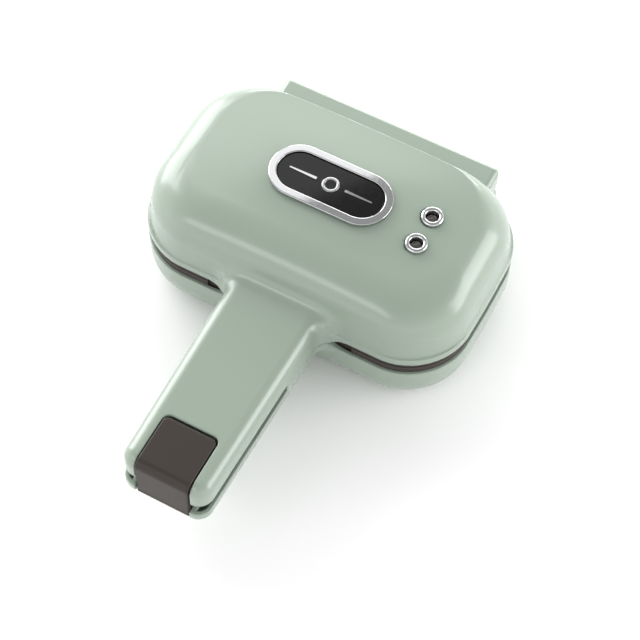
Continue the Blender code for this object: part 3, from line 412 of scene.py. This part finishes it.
def latch(x, y, z):
    """The rocker: a thumb plate, a front plate with a hook at its foot, and two lugs on the pin."""
    front, top, back = LATCH_LOW[1], LATCH_HIGH[2], LATCH_HIGH[1]
    side_x = np.abs(x)
    outer = both(front - y, z - top, LATCH_BEND)
    outer = both(outer, both(side_x - LATCH_HIGH[0], y - back, NOTCH_CORNER - 0.6), 0.9)
    outer = both(outer, LATCH_LOW[2] - z, 0.7)
    inner = both(front + LATCH_WALL - y, z - top + LATCH_WALL, LATCH_BEND - LATCH_WALL)
    body = without(outer, inner, 0.5)
    hook = brick(x, y, z, (LATCH_LOW[0], LATCH_HIGH[0]), (front, front + LATCH_WALL + HOOK),
                 (LATCH_LOW[2], LATCH_LOW[2] + HOOK_H), 0.5)
    body = either(body, hook, 0.5)
    axis = np.hypot(y - PIVOT[1], z - PIVOT[2])
    lug = np.minimum(axis, np.where(z > PIVOT[2], np.abs(y - PIVOT[1]), 99)) - LUG_R
    lug = both(np.maximum(lug, z - top + LATCH_WALL / 2), between(side_x, *LUG_SPAN), 0.4)
    body = either(body, lug, 0.5)
    return without(body, axis - LATCH_PIN_HOLE_R, 0.2)


# --- From a field to a mesh ---------------------------------------------------------------------------


def lines(stops, steps):
    """Grid lines between stops, each stretch with its own step."""
    made = [np.array([stops[0]])]
    for low, high, step in zip(stops, stops[1:], steps):
        count = max(1, round((high - low) / step))
        made.append(low + (high - low) * np.arange(1, count + 1) / count)
    return np.concatenate(made)


def mirrored(half):
    """Grid lines on both sides of 0, from those above it."""
    return np.concatenate([-half[::-1], half[1:] if half[0] == 0 else half])


def slope(field, points, step=0.02):
    """The field's value and gradient at points."""
    x, y, z = points.T
    value = field(x, y, z)
    parts = [field(*(points + step * np.eye(3)[axis]).T) - field(*(points - step * np.eye(3)[axis]).T)
             for axis in range(3)]
    return value, np.stack(parts, axis=1) / (2 * step)


def settle(field, points, rounds=3):
    """Moves points onto the surface along the field's gradient."""
    for _ in range(rounds):
        value, gradient = slope(field, points)
        step = gradient * (value / np.maximum((gradient**2).sum(axis=1), 0.05))[:, None]
        length = np.linalg.norm(step, axis=1, keepdims=True)
        points = points - step * np.minimum(1, 0.6 / np.maximum(length, 1e-9))
    return points


def spread(points, quads):
    """Evens out the points by moving each towards the middles of the faces around it."""
    middles = points[quads].mean(axis=1)
    total = np.zeros_like(points)
    for axis in range(3):
        weights = np.repeat(middles[:, axis], 4)
        total[:, axis] = np.bincount(quads.ravel(), weights, minlength=len(points))
    counts = np.bincount(quads.ravel(), minlength=len(points))
    return points + 0.5 * (total / np.maximum(counts, 1)[:, None] - points)


def net(field, grid):
    """Surface nets: a point in each grid cell that the surface passes, and a quad round each crossed edge."""
    x, y, z = grid[0][:, None, None], grid[1][None, :, None], grid[2][None, None, :]
    shape = tuple(len(part) for part in grid)
    values = np.broadcast_to(field(x, y, z), shape)
    inside = values < 0
    cells = tuple(size - 1 for size in shape)
    total, counts, faces = np.zeros((np.prod(cells), 3)), np.zeros(np.prod(cells)), []
    for axis in range(3):
        near = [slice(None)] * 3
        far = [slice(None)] * 3
        near[axis], far[axis] = slice(None, -1), slice(1, None)
        near, far = tuple(near), tuple(far)
        edges = np.argwhere(inside[near] != inside[far])
        here = tuple(edges.T)
        a, b = values[near][here], values[far][here]
        share = a / (a - b)
        points = np.stack([grid[i][edges[:, i]] for i in range(3)], axis=1)
        points[:, axis] += share * np.diff(grid[axis])[edges[:, axis]]
        first, second = (axis + 1) % 3, (axis + 2) % 3
        around = []
        for shift_first, shift_second in ((1, 1), (0, 1), (0, 0), (1, 0)):
            cell = edges.copy()
            cell[:, first] -= shift_first
            cell[:, second] -= shift_second
            number = np.ravel_multi_index(tuple(cell.T), cells)
            around.append(number)
            for i in range(3):
                total[:, i] += np.bincount(number, points[:, i], minlength=len(total))
            counts += np.bincount(number, minlength=len(counts))
        quad = np.stack(around, axis=1)
        quad[a >= 0] = quad[a >= 0][:, ::-1]
        faces.append(quad)
    used = counts > 0
    renumber = np.cumsum(used) - 1
    return total[used] / counts[used][:, None], renumber[np.concatenate(faces)]


def mesh_of(name, points, faces, normals=None):
    """A mesh object from points in millimetres and faces of equal length."""
    mesh = bpy.data.meshes.new(name)
    faces = np.asarray(faces, dtype=np.int32)
    mesh.vertices.add(len(points))
    mesh.vertices.foreach_set("co", (np.asarray(points) * MM).astype(np.float32).ravel())
    mesh.loops.add(faces.size)
    mesh.loops.foreach_set("vertex_index", faces.ravel())
    mesh.polygons.add(len(faces))
    mesh.polygons.foreach_set("loop_start", np.arange(0, faces.size, faces.shape[1], dtype=np.int32))
    mesh.update(calc_edges=True)
    mesh.validate()
    mesh.shade_smooth()
    if normals is not None:
        mesh.normals_split_custom_set_from_vertices(normals)
    made = bpy.data.objects.new(name, mesh)
    bpy.context.scene.collection.objects.link(made)
    return made


def moulded(name, field, grid):
    """A mesh object of a field's surface, on grid lines along X, Y and Z."""
    points, quads = net(field, grid)
    for _ in range(2):
        points = settle(field, spread(points, quads), rounds=2)
    _, gradient = slope(field, points)
    gradient /= np.maximum(np.linalg.norm(gradient, axis=1, keepdims=True), 1e-9)
    return mesh_of(name, points, quads, gradient)


# --- Turned and swept pieces --------------------------------------------------------------------------


def arc(centre, radius, start, stop, steps):
    angles = np.radians(np.linspace(start, stop, steps + 1))
    return [(centre[0] + radius * math.cos(a), centre[1] + radius * math.sin(a)) for a in angles]


def eased(profile, radius, steps=3):
    """A closed profile with each of its corners rounded."""
    made = []
    corners = [Vector(point) for point in profile]
    for before, here, after in zip(corners[-1:] + corners[:-1], corners, corners[1:] + corners[:1]):
        back, ahead = before - here, after - here
        r = min(radius, 0.45 * back.length, 0.45 * ahead.length)
        start, stop = here + back.normalized() * r, here + ahead.normalized() * r
        for step in range(steps + 1):
            t = step / steps
            made.append(tuple(start * (1 - t) ** 2 + here * 2 * t * (1 - t) + stop * t * t))
    return made


def braced(profile, near=0.12, long=1.0):
    """Adds a point near each end of every long stretch, so that the shading stays flat along it."""
    points = [Vector(point) for point in profile]
    out = []
    for start, end in zip(points, points[1:] + points[:1]):
        out.append(start)
        stretch = end - start
        if stretch.length > long:
            out.append(start + stretch.normalized() * near)
            out.append(end - stretch.normalized() * near)
    return [tuple(point) for point in out]


def ring_mesh(name, rings, closed=True):
    """A closed mesh skinned over rings of points; the last ring joins the first, or both ends are capped."""
    count, size = len(rings), len(rings[0])
    bm = bmesh.new()
    rows = [[bm.verts.new(Vector(point) * MM) for point in ring] for ring in rings]
    for i in range(count if closed else count - 1):
        near, far = rows[i], rows[(i + 1) % count]
        for j in range(size):
            k = (j + 1) % size
            bm.faces.new((near[j], near[k], far[k], far[j]))
    if not closed:
        bm.faces.new(rows[0])
        bm.faces.new(rows[-1])
    bmesh.ops.recalc_face_normals(bm, faces=bm.faces)
    mesh = bpy.data.meshes.new(name)
    bm.to_mesh(mesh)
    bm.free()
    mesh.shade_smooth()
    mesh.set_sharp_from_angle(angle=math.radians(40))
    made = bpy.data.objects.new(name, mesh)
    bpy.context.scene.collection.objects.link(made)
    return made


def turned(name, profile, x, y, steps=64, closed=False):
    """A profile of (radius, z) points turned about an upright axis."""
    rings = [[(x + r * math.cos(a), y + r * math.sin(a), z) for a in
              (2 * math.pi * step / steps for step in range(steps))] for r, z in profile]
    return ring_mesh(name, rings, closed)


def body_ring(inset, steps=18):
    """Points round the body's plan, set in by a distance."""
    half_x, half_y, radius = BODY_HALF - inset, BODY_HALF_D - inset, CORNER_R - inset
    points = []
    for number, (sign_x, sign_y) in enumerate(((1, 1), (-1, 1), (-1, -1), (1, -1))):
        centre = (sign_x * (half_x - radius), BODY_Y + sign_y * (half_y - radius))
        corner = arc(centre, radius, 90 * number, 90 * number + 90, steps)
        if number == 0 or number == 2:
            points.append((sign_x * half_x, BODY_Y))
        points += corner
    bowed = []
    for x, y in points:
        bowed.append((x * (1 - END_BOW / BODY_HALF * ((y - BODY_Y) / BODY_HALF_D) ** 2), y))
    return bowed


def frame_ring(name, upper):
    """A frame: its band, spigot and ledge, and the tongue that lines the handle."""
    top = PART_Z - GAP
    low, ledge = PART_Z - SPIGOT_HALF, top - LEDGE_T
    band = PART_Z - (BAND_HALF if upper else BAND_LOW) + GAP
    inner = SPIGOT_INSET + SPIGOT_WALL
    profile = [(SPIGOT_INSET, low), (SPIGOT_INSET, band), (BAND_INSET, band), (BAND_INSET, top)]
    profile += [(FRAME_INSET, top), (FRAME_INSET, ledge), (inner, ledge), (inner, low)]
    rings = [[(x, y, z) for x, y in body_ring(inset)] for inset, z in braced(eased(profile, 0.4))]
    made = ring_mesh(name, rings)
    near, far = BODY_FRONT - 1, BODY_FRONT + SPIGOT_INSET - GAP
    corners = [(BAND_GAP_HALF, near), (BAND_GAP_HALF, far), (-BAND_GAP_HALF, far), (-BAND_GAP_HALF, near)]
    neck = ring_mesh("neck", [[(x, y, z) for x, y in corners] for z in (low, PART_Z + 1)], closed=False)
    merge(made, neck, "DIFFERENCE")
    end, root = box_mm(name)[0][1], BODY_FRONT + 6
    tip, base = HANDLE_TIP - SHELL - 2 * GAP, HANDLE_ROOT - SHELL - 2 * GAP
    corner = arc((tip - 5, end + 5), 5, 270, 360, 8)
    side = corner + [(base, NECK_Y), (base, root)]
    outline = side + [(-x, y) for x, y in reversed(side)]
    levels = (PART_Z - LINER_DEPTH[name], top - 0.5)
    merge(made, ring_mesh("tongue", [[(x, y, z) for x, y in outline] for z in levels], closed=False))
    for x, y in POSTS:
        merge(made, turned("post", [(POST_R, REFLECTOR_HIGH[2] + GAP), (POST_R, ledge + 1.0)], x, y, 24))
    hole_top = PART_Z + 2 if upper else PART_Z - 6
    hole = [(SCREW_HOLE_R, REFLECTOR_LOW[2]), (SCREW_HOLE_R, hole_top)]
    recess = [(3.3, PART_Z - 4.8), (3.3, hole_top)]
    for x, y in POSTS:
        merge(made, turned("hole", hole, x, y, 24), "DIFFERENCE")
        if upper:
            merge(made, turned("recess", recess, x, y, 24), "DIFFERENCE")
    if upper:
        flip(made)
    return made


def flip(made):
    """Mirrors a piece in the plane where the two halves meet."""
    bm = bmesh.new()
    bm.from_mesh(made.data)
    for vert in bm.verts:
        vert.co.z = 2 * PART_Z * MM - vert.co.z
    bmesh.ops.reverse_faces(bm, faces=bm.faces)
    bm.to_mesh(made.data)
    bm.free()


def merge(target, tool, operation="UNION"):
    """Joins the tool to the target or cuts the target with it. The tool is used up."""
    modifier = target.modifiers.new("merge", "BOOLEAN")
    modifier.operation = operation
    modifier.object = tool
    graph = bpy.context.evaluated_depsgraph_get()
    mesh = bpy.data.meshes.new_from_object(target.evaluated_get(graph))
    target.modifiers.clear()
    target.data = mesh
    bpy.data.objects.remove(tool)
    mesh.shade_smooth()
    mesh.set_sharp_from_angle(angle=math.radians(35))


# --- Materials ----------------------------------------------------------------------------------------


def material(name, colour, roughness, metallic=0.0, coat=0.0, specular=0.5, grain=400.0, tint=0.03, bump=0.04,
             rough_var=0.05, mottle=18.0):
    """A procedural finish: a slow drift in colour, a fine grain in roughness, and a shallow bump."""
    made = bpy.data.materials.new(name)
    made.use_nodes = True
    nodes, links = made.node_tree.nodes, made.node_tree.links
    shader = nodes["Principled BSDF"]
    shader.inputs["Metallic"].default_value = metallic
    shader.inputs["Specular IOR Level"].default_value = specular
    shader.inputs["Coat Weight"].default_value = coat
    shader.inputs["Coat Roughness"].default_value = 0.12
    place = nodes.new("ShaderNodeTexCoord")

    def noise(scale, detail):
        found = nodes.new("ShaderNodeTexNoise")
        found.inputs["Scale"].default_value = scale
        found.inputs["Detail"].default_value = detail
        links.new(place.outputs["Object"], found.inputs["Vector"])
        return found.outputs["Fac"]

    def ranged(value, low, high):
        found = nodes.new("ShaderNodeMapRange")
        found.inputs["From Min"].default_value = 0.3
        found.inputs["From Max"].default_value = 0.7
        found.inputs["To Min"].default_value = low
        found.inputs["To Max"].default_value = high
        links.new(value, found.inputs["Value"])
        return found.outputs["Result"]

    mix = nodes.new("ShaderNodeMix")
    mix.data_type = "RGBA"
    mix.inputs["A"].default_value = (*(c * (1 - tint) for c in colour), 1)
    mix.inputs["B"].default_value = (*(min(c * (1 + tint), 1) for c in colour), 1)
    links.new(ranged(noise(mottle, 3), 0, 1), mix.inputs["Factor"])
    links.new(mix.outputs["Result"], shader.inputs["Base Color"])
    fine = noise(grain, 4)
    links.new(ranged(fine, roughness - rough_var, roughness + rough_var), shader.inputs["Roughness"])
    relief = nodes.new("ShaderNodeBump")
    relief.inputs["Strength"].default_value = bump
    relief.inputs["Distance"].default_value = 0.0002
    links.new(fine, relief.inputs["Height"])
    links.new(relief.outputs["Normal"], shader.inputs["Normal"])
    return made


FINISHES = {
    "sage_plastic": dict(colour=(0.262, 0.322, 0.262), roughness=0.26, coat=0.3, specular=0.6,
                         grain=1500, tint=0.006, bump=0.0, rough_var=0.012, mottle=30),
    "brown_plastic": dict(colour=(0.034, 0.026, 0.022), roughness=0.46, specular=0.3,
                          grain=1600, tint=0.05, bump=0.04),
    "nonstick": dict(colour=(0.035, 0.034, 0.036), roughness=0.45, metallic=0.3,
                     grain=2500, tint=0.2, bump=0.15),
    "steel": dict(colour=(0.6, 0.6, 0.6), roughness=0.3, metallic=1.0, grain=1200, tint=0.05, bump=0.1),
    "chrome": dict(colour=(0.5, 0.505, 0.51), roughness=0.05, metallic=1.0,
                   grain=700, tint=0.02, bump=0.0, rough_var=0.02),
    "badge_black": dict(colour=(0.003, 0.003, 0.0035), roughness=0.07, specular=0.32,
                        grain=600, tint=0.2, bump=0.0, rough_var=0.03),
    "smoke_lens": dict(colour=(0.075, 0.065, 0.06), roughness=0.12, coat=0.6,
                       grain=500, tint=0.15, bump=0.03, rough_var=0.05),
    "lamp_glass": dict(colour=(0.8, 0.35, 0.25), roughness=0.15, grain=500, tint=0.05, bump=0.02),
    "heater_sheath": dict(colour=(0.28, 0.27, 0.26), roughness=0.5, metallic=0.8,
                          grain=900, tint=0.25, bump=0.2, rough_var=0.12),
    "bakelite": dict(colour=(0.09, 0.07, 0.06), roughness=0.6, grain=1100, tint=0.12, bump=0.2),
    "ceramic": dict(colour=(0.83, 0.8, 0.74), roughness=0.65, grain=1500, tint=0.04, bump=0.25),
    "silicone_lead": dict(colour=(0.75, 0.73, 0.68), roughness=0.6, grain=1300, tint=0.04, bump=0.15),
    "rubber": dict(colour=(0.03, 0.03, 0.03), roughness=0.8, grain=1600, tint=0.2, bump=0.3),
}
MATERIALS = {name: material(name, **facts) for name, facts in FINISHES.items()}


def finish(made, slot, body, *replaced):
    """Gives a piece its material and slot, and sets it riding on its body in place of CAD nodes."""
    made.data.materials.clear()
    made.data.materials.append(MATERIALS[slot])
    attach(made, body)
    if replaced:
        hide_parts(*replaced)
    return made


# --- The pieces ---------------------------------------------------------------------------------------

PIECES = "_shown"
COARSE = 1.0


def grid_of(x_half, y_lines, z_lines):
    """A grid for a piece that is the same on both sides of X = 0."""
    return mirrored(x_half), y_lines, z_lines


def make_covers():
    """The two housings. Their grids are finest where a small radius or an edge has to be drawn."""
    k = COARSE
    across = lines([0, 12, 19, 24, 32, 47, 60, 65, 84, 93.5],
                   [1.5 * k, 0.6, 1.0, 0.7, 0.9 * k, 0.6, 0.8, 1.2 * k, 0.8])
    along = lines([-124, -108, -88, -46, -38, -18, 6, 33, 68, 86, 108, 124],
                  [0.6, 0.8, 1.8 * k, 0.8, 1.3 * k, 0.8, 1.4 * k, 0.8, 1.4 * k, 0.7, 0.7])
    up = lines([27, 45, 72, 80.5], [0.55, 0.9 * k, 0.5])
    upper = moulded("upper_cover" + PIECES, upper_cover, grid_of(across, along, up))
    finish(upper, "sage_plastic", "lid", "upper_cover")
    up = lines([2, 6, 22, 41.5], [0.6, 1.0 * k, 0.6])
    lower = moulded("lower_cover" + PIECES, lower_cover, grid_of(across, along, up))
    finish(lower, "sage_plastic", "base", "lower_cover")


def make_plates():
    across = lines([0, 82.5], [0.95 * COARSE])
    along = lines([PLATE_LOW[1] - 1, PLATE_HIGH[1] + 1], [0.95 * COARSE])
    up = lines([PLATE_LOW[2] - 1, PLATE_HIGH[2] - 10, PLATE_HIGH[2] + 1], [1.0, 0.6])
    made = moulded("lower_plate" + PIECES, lower_plate, grid_of(across, along, up))
    finish(made, "nonstick", "base", "lower_plate")
    up = 2 * PART_Z - up[::-1]
    made = moulded("upper_plate" + PIECES, upper_plate, grid_of(across, along, up))
    finish(made, "nonstick", "lid", "upper_plate")


def make_latch():
    across = lines([0, LATCH_HIGH[0] + 1], [0.55])
    along = lines([LATCH_LOW[1] - 1, LATCH_HIGH[1] + 1], [0.5])
    up = lines([LATCH_LOW[2] - 1, LATCH_HIGH[2] + 1], [0.5])
    finish(moulded("latch" + PIECES, latch, grid_of(across, along, up)), "brown_plastic", "latch", "latch")


def make_frames():
    finish(frame_ring("lower_frame", False), "brown_plastic", "base", "lower_frame")
    finish(frame_ring("upper_frame", True), "brown_plastic", "lid", "upper_frame")


def make_lamps():
    """Chrome bezels with a rolled rim, and smoked lenses set down inside them."""
    for name, (x, y, _) in LAMPS.items():
        low, high = (corner[2] for corner in box_mm(f"{name}_bezel"))
        seat = LAMP_SEAT + GAP
        curl = 1.35
        roll = arc((LAMP_R - curl, high - curl), curl, 0, 180, 14)
        profile = [(3.3, low), (4.2, low), (4.2, seat), (LAMP_R, seat)] + roll + [(3.3, seat - 1.2)]
        made = turned(f"{name}_bezel{PIECES}", profile, x, y, closed=True)
        finish(made, "chrome", "lid", f"{name}_bezel")
        low, high = (corner[2] for corner in box_mm(f"{name}_lens"))
        lens_r, rise, drop = 3.1, 0.9, 1.6
        angles = np.radians(np.linspace(0, 86, 9))
        crown = [(lens_r * math.cos(a), high - drop - rise + rise * math.sin(a)) for a in angles]
        made = turned(f"{name}_lens{PIECES}", [(lens_r, low)] + crown, x, y, steps=48)
        finish(made, "smoke_lens", "lid", f"{name}_lens")


def stadium_ring(half_l, half_w, steps=28):
    right = arc((half_l - half_w, BODY_Y), half_w, -90, 90, steps)
    return right + [(-x, y) for x, y in reversed(right)]


def stadium_solid(name, levels, closed=False):
    """A solid through stadium outlines: levels is a list of (inset, z)."""
    rings = []
    for inset, z in levels:
        outline = stadium_ring(BADGE_HALF_L - inset, BADGE_HALF_W - inset)
        rings.append([(x, y, z) for x, y in outline])
    return ring_mesh(name, rings, closed)


def make_badge():
    """A chrome rim round a black plate, which carries a plain ring and two bars."""
    low, top = BADGE_LOW[2], BADGE_HIGH[2]
    rim = braced(eased([(0.0, low), (0.0, top), (BADGE_RIM, top), (BADGE_RIM, low)], 0.5))
    finish(stadium_solid("badge_rim" + PIECES, rim, closed=True), "chrome", "lid", "badge_rim")
    plate_top = box_mm("badge_plate")[1][2]
    edge = BADGE_RIM + GAP
    plate = [(edge, low), (edge, plate_top - 0.3), (edge + 0.3, plate_top)]
    finish(stadium_solid("badge_plate" + PIECES, plate), "badge_black", "lid", "badge_plate")
    sunk, inner, outer, ring_top = plate_top - 0.1, 3.0, 4.6, plate_top + 0.5
    relief = [(inner, sunk), (inner, ring_top), (outer, ring_top), (outer, sunk)]
    finish(turned("badge_ring", eased(relief, 0.25), 0, BODY_Y, 48, closed=True), "chrome", "lid")
    near, far, half = 8.0, 23.5, 0.8
    bar = eased([(near, -half), (far, -half * 0.5), (far, half * 0.5), (near, half)], 0.4)
    for name, side in (("badge_bar_left", -1), ("badge_bar_right", 1)):
        rings = [[(side * x, BODY_Y + y, z) for x, y in bar] for z in (sunk, plate_top + 0.45)]
        finish(ring_mesh(name, rings, closed=False), "chrome", "lid")


def make_feet():
    """Rubber feet: a button with a shallow dish below, and a stem that fills the hole in the base."""
    neck = FLOOR_Z - GAP
    stem = 2.4
    for name in FEET:
        low, high = box_mm(name)
        x, y = ((low + high) / 2)[:2]
        radius = (high - low)[0] / 2
        rim = arc((radius - 0.9, 0.9), 0.9, -90, 0, 4)
        profile = [(0.4, 0.35), (radius - 2.8, 0.35), (radius - 2.5, 0.0)] + rim
        profile += [(radius, neck - 0.3), (radius - 0.3, neck), (stem, neck), (stem, high[2])]
        finish(turned(name + PIECES, profile, x, y, 48), "rubber", "base", name)


def make_bush():
    """The cord's rubber bush: a nose through the back wall and a flange behind it."""
    low, high = box_mm("cord_bush")
    inner, outer = low[1], high[1]
    nose, flange, bore = 4.9, 5.9, 3.3
    wall = REAR_Y - SHELL - GAP
    profile = [(nose, outer), (nose, wall), (flange, wall), (flange, inner), (bore, inner), (bore, outer)]
    profile = eased(profile, 0.35)
    angles = [2 * math.pi * step / 48 for step in range(48)]
    rings = [[(BUSH[0] + r * math.cos(a), y, BUSH[2] + r * math.sin(a)) for a in angles] for r, y in profile]
    finish(ring_mesh("cord_bush" + PIECES, rings), "rubber", "base", "cord_bush")


def make_screws():
    """Pan-head screws with a cross recess."""
    for node in sorted(frame["nodes"]):
        if "_screw_" not in node:
            continue
        low, high = box_mm(node)
        x, y = ((low + high) / 2)[:2]
        length = high[2] - low[2]
        head_up = node.startswith("upper_plate")
        head_r, head_h, thread_r, root_r = 3.0, 1.6, 1.5, 1.22
        profile = [(0.3, 0.0), (1.9, 0.0), (2.6, 0.25), (head_r, 0.8), (head_r, head_h), (thread_r, head_h)]
        for turn in range(int(length - 2 * head_h)):
            z = 2.0 + turn
            profile += [(thread_r, z), (root_r, z + 0.5)]
        profile += [(1.4, length - 0.9), (0.5, length)]
        made = turned(node + PIECES, profile, 0, 0, 24)
        long, half = 1.7, 0.4
        blade = [(-long, -half), (long, -half), (long, half), (-long, half)]
        for cross in (blade, [(-b, a) for a, b in blade]):
            rings = [[(a * keep, b * keep, z) for a, b in cross] for z, keep in ((-0.5, 1.0), (1.1, 0.55))]
            merge(made, ring_mesh("cross", rings, closed=False), "DIFFERENCE")
        for vert in made.data.vertices:
            z = high[2] - vert.co.z / MM if head_up else low[2] + vert.co.z / MM
            vert.co = Vector((vert.co.x + x * MM, vert.co.y + y * MM, z * MM))
        if head_up:
            made.data.flip_normals()
        body = "base" if node.startswith(("base", "lower")) else "lid"
        finish(made, "steel", body, node)


def finish_the_rest():
    """Every CAD node that still shows takes its own finish."""
    slots = {part["node"]: part["material_slot"] for part in frame["record"]["subparts"]}
    for name, made in frame["nodes"].items():
        if not made.hide_render:
            made.data.materials.clear()
            made.data.materials.append(MATERIALS[slots[name]])


# --- Stage, light and camera --------------------------------------------------------------------------


def make_stage():
    """A plain pale floor."""
    bpy.ops.mesh.primitive_grid_add(x_subdivisions=2, y_subdivisions=2, size=8)
    floor = bpy.context.object
    floor.name = "floor"
    made = bpy.data.materials.new("floor")
    made.use_nodes = True
    shader = made.node_tree.nodes["Principled BSDF"]
    shader.inputs["Base Color"].default_value = (0.93, 0.93, 0.93, 1)
    shader.inputs["Roughness"].default_value = 0.9
    floor.data.materials.append(made)


def area_light(name, place, aim, size, power, size_y=None):
    data = bpy.data.lights.new(name, "AREA")
    data.energy = power
    data.shape = "RECTANGLE"
    data.size, data.size_y = size, size_y or size
    made = bpy.data.objects.new(name, data)
    bpy.context.scene.collection.objects.link(made)
    made.location = place
    made.rotation_euler = (Vector(aim) - Vector(place)).to_track_quat("-Z", "Y").to_euler()
    return made


def make_world():
    """A studio that is brighter near the horizon than overhead."""
    world = bpy.data.worlds.new("world")
    bpy.context.scene.world = world
    world.use_nodes = True
    nodes, links = world.node_tree.nodes, world.node_tree.links
    place = nodes.new("ShaderNodeTexCoord")
    parts = nodes.new("ShaderNodeSeparateXYZ")
    fade = nodes.new("ShaderNodeMapRange")
    fade.inputs["From Min"].default_value = 0.0
    fade.inputs["From Max"].default_value = 0.8
    fade.inputs["To Min"].default_value = 1.85
    fade.inputs["To Max"].default_value = 0.54
    links.new(place.outputs["Generated"], parts.inputs["Vector"])
    links.new(parts.outputs["Z"], fade.inputs["Value"])
    sky = nodes["Background"]
    sky.inputs["Color"].default_value = (1.0, 1.0, 1.0, 1)
    links.new(fade.outputs["Result"], sky.inputs["Strength"])


def make_lights():
    target = (0, 0.015, 0.04)
    area_light("left", (-1.1, 0.45, 0.45), target, 0.9, 14)
    area_light("right", (1.15, 0.5, 0.35), target, 0.9, 10)
    area_light("front", (-0.35, -1.05, 0.85), target, 1.1, 3, size_y=0.3)
    area_light("back", (-0.3, 1.3, 0.3), target, 1.2, 9, size_y=0.4)
    # A softbox overhead. One of its edges is mirrored across the badge and splits it into light and dark.
    edge_turn = math.radians(51)
    across = Vector((-math.sin(edge_turn), math.cos(edge_turn), 0))
    size = 1.3
    middle = Vector((-0.331, 0.732, 1.2)) + across * size / 2
    softbox = area_light("softbox", middle, middle - Vector((0, 0, 1)), size, 6.5)
    softbox.rotation_euler = (0, 0, edge_turn)


def make_camera():
    """The photo's camera: its angle, distance and lens come from a fit of the object's outlines."""
    azimuth, elevation, distance = math.radians(28.5), math.radians(58.5), 1.026
    focus = Vector((0.0, 0.0155, 0.038))
    data = bpy.data.cameras.new("camera")
    data.sensor_width = 36
    data.lens = 112.1
    data.shift_x, data.shift_y = 0.035, -0.063
    made = bpy.data.objects.new("camera", data)
    bpy.context.scene.collection.objects.link(made)
    level = Vector((math.sin(azimuth), -math.cos(azimuth), 0))
    out = level * math.cos(elevation) + Vector((0, 0, math.sin(elevation)))
    made.location = focus + out * distance
    made.rotation_euler = (-out).to_track_quat("-Z", "Y").to_euler()
    bpy.context.scene.camera = made
    bpy.context.scene.view_settings.view_transform = "Standard"


make_camera()
make_covers()
make_frames()
make_plates()
make_latch()
make_lamps()
make_badge()
make_feet()
make_bush()
make_screws()
finish_the_rest()
make_stage()
make_world()
make_lights()
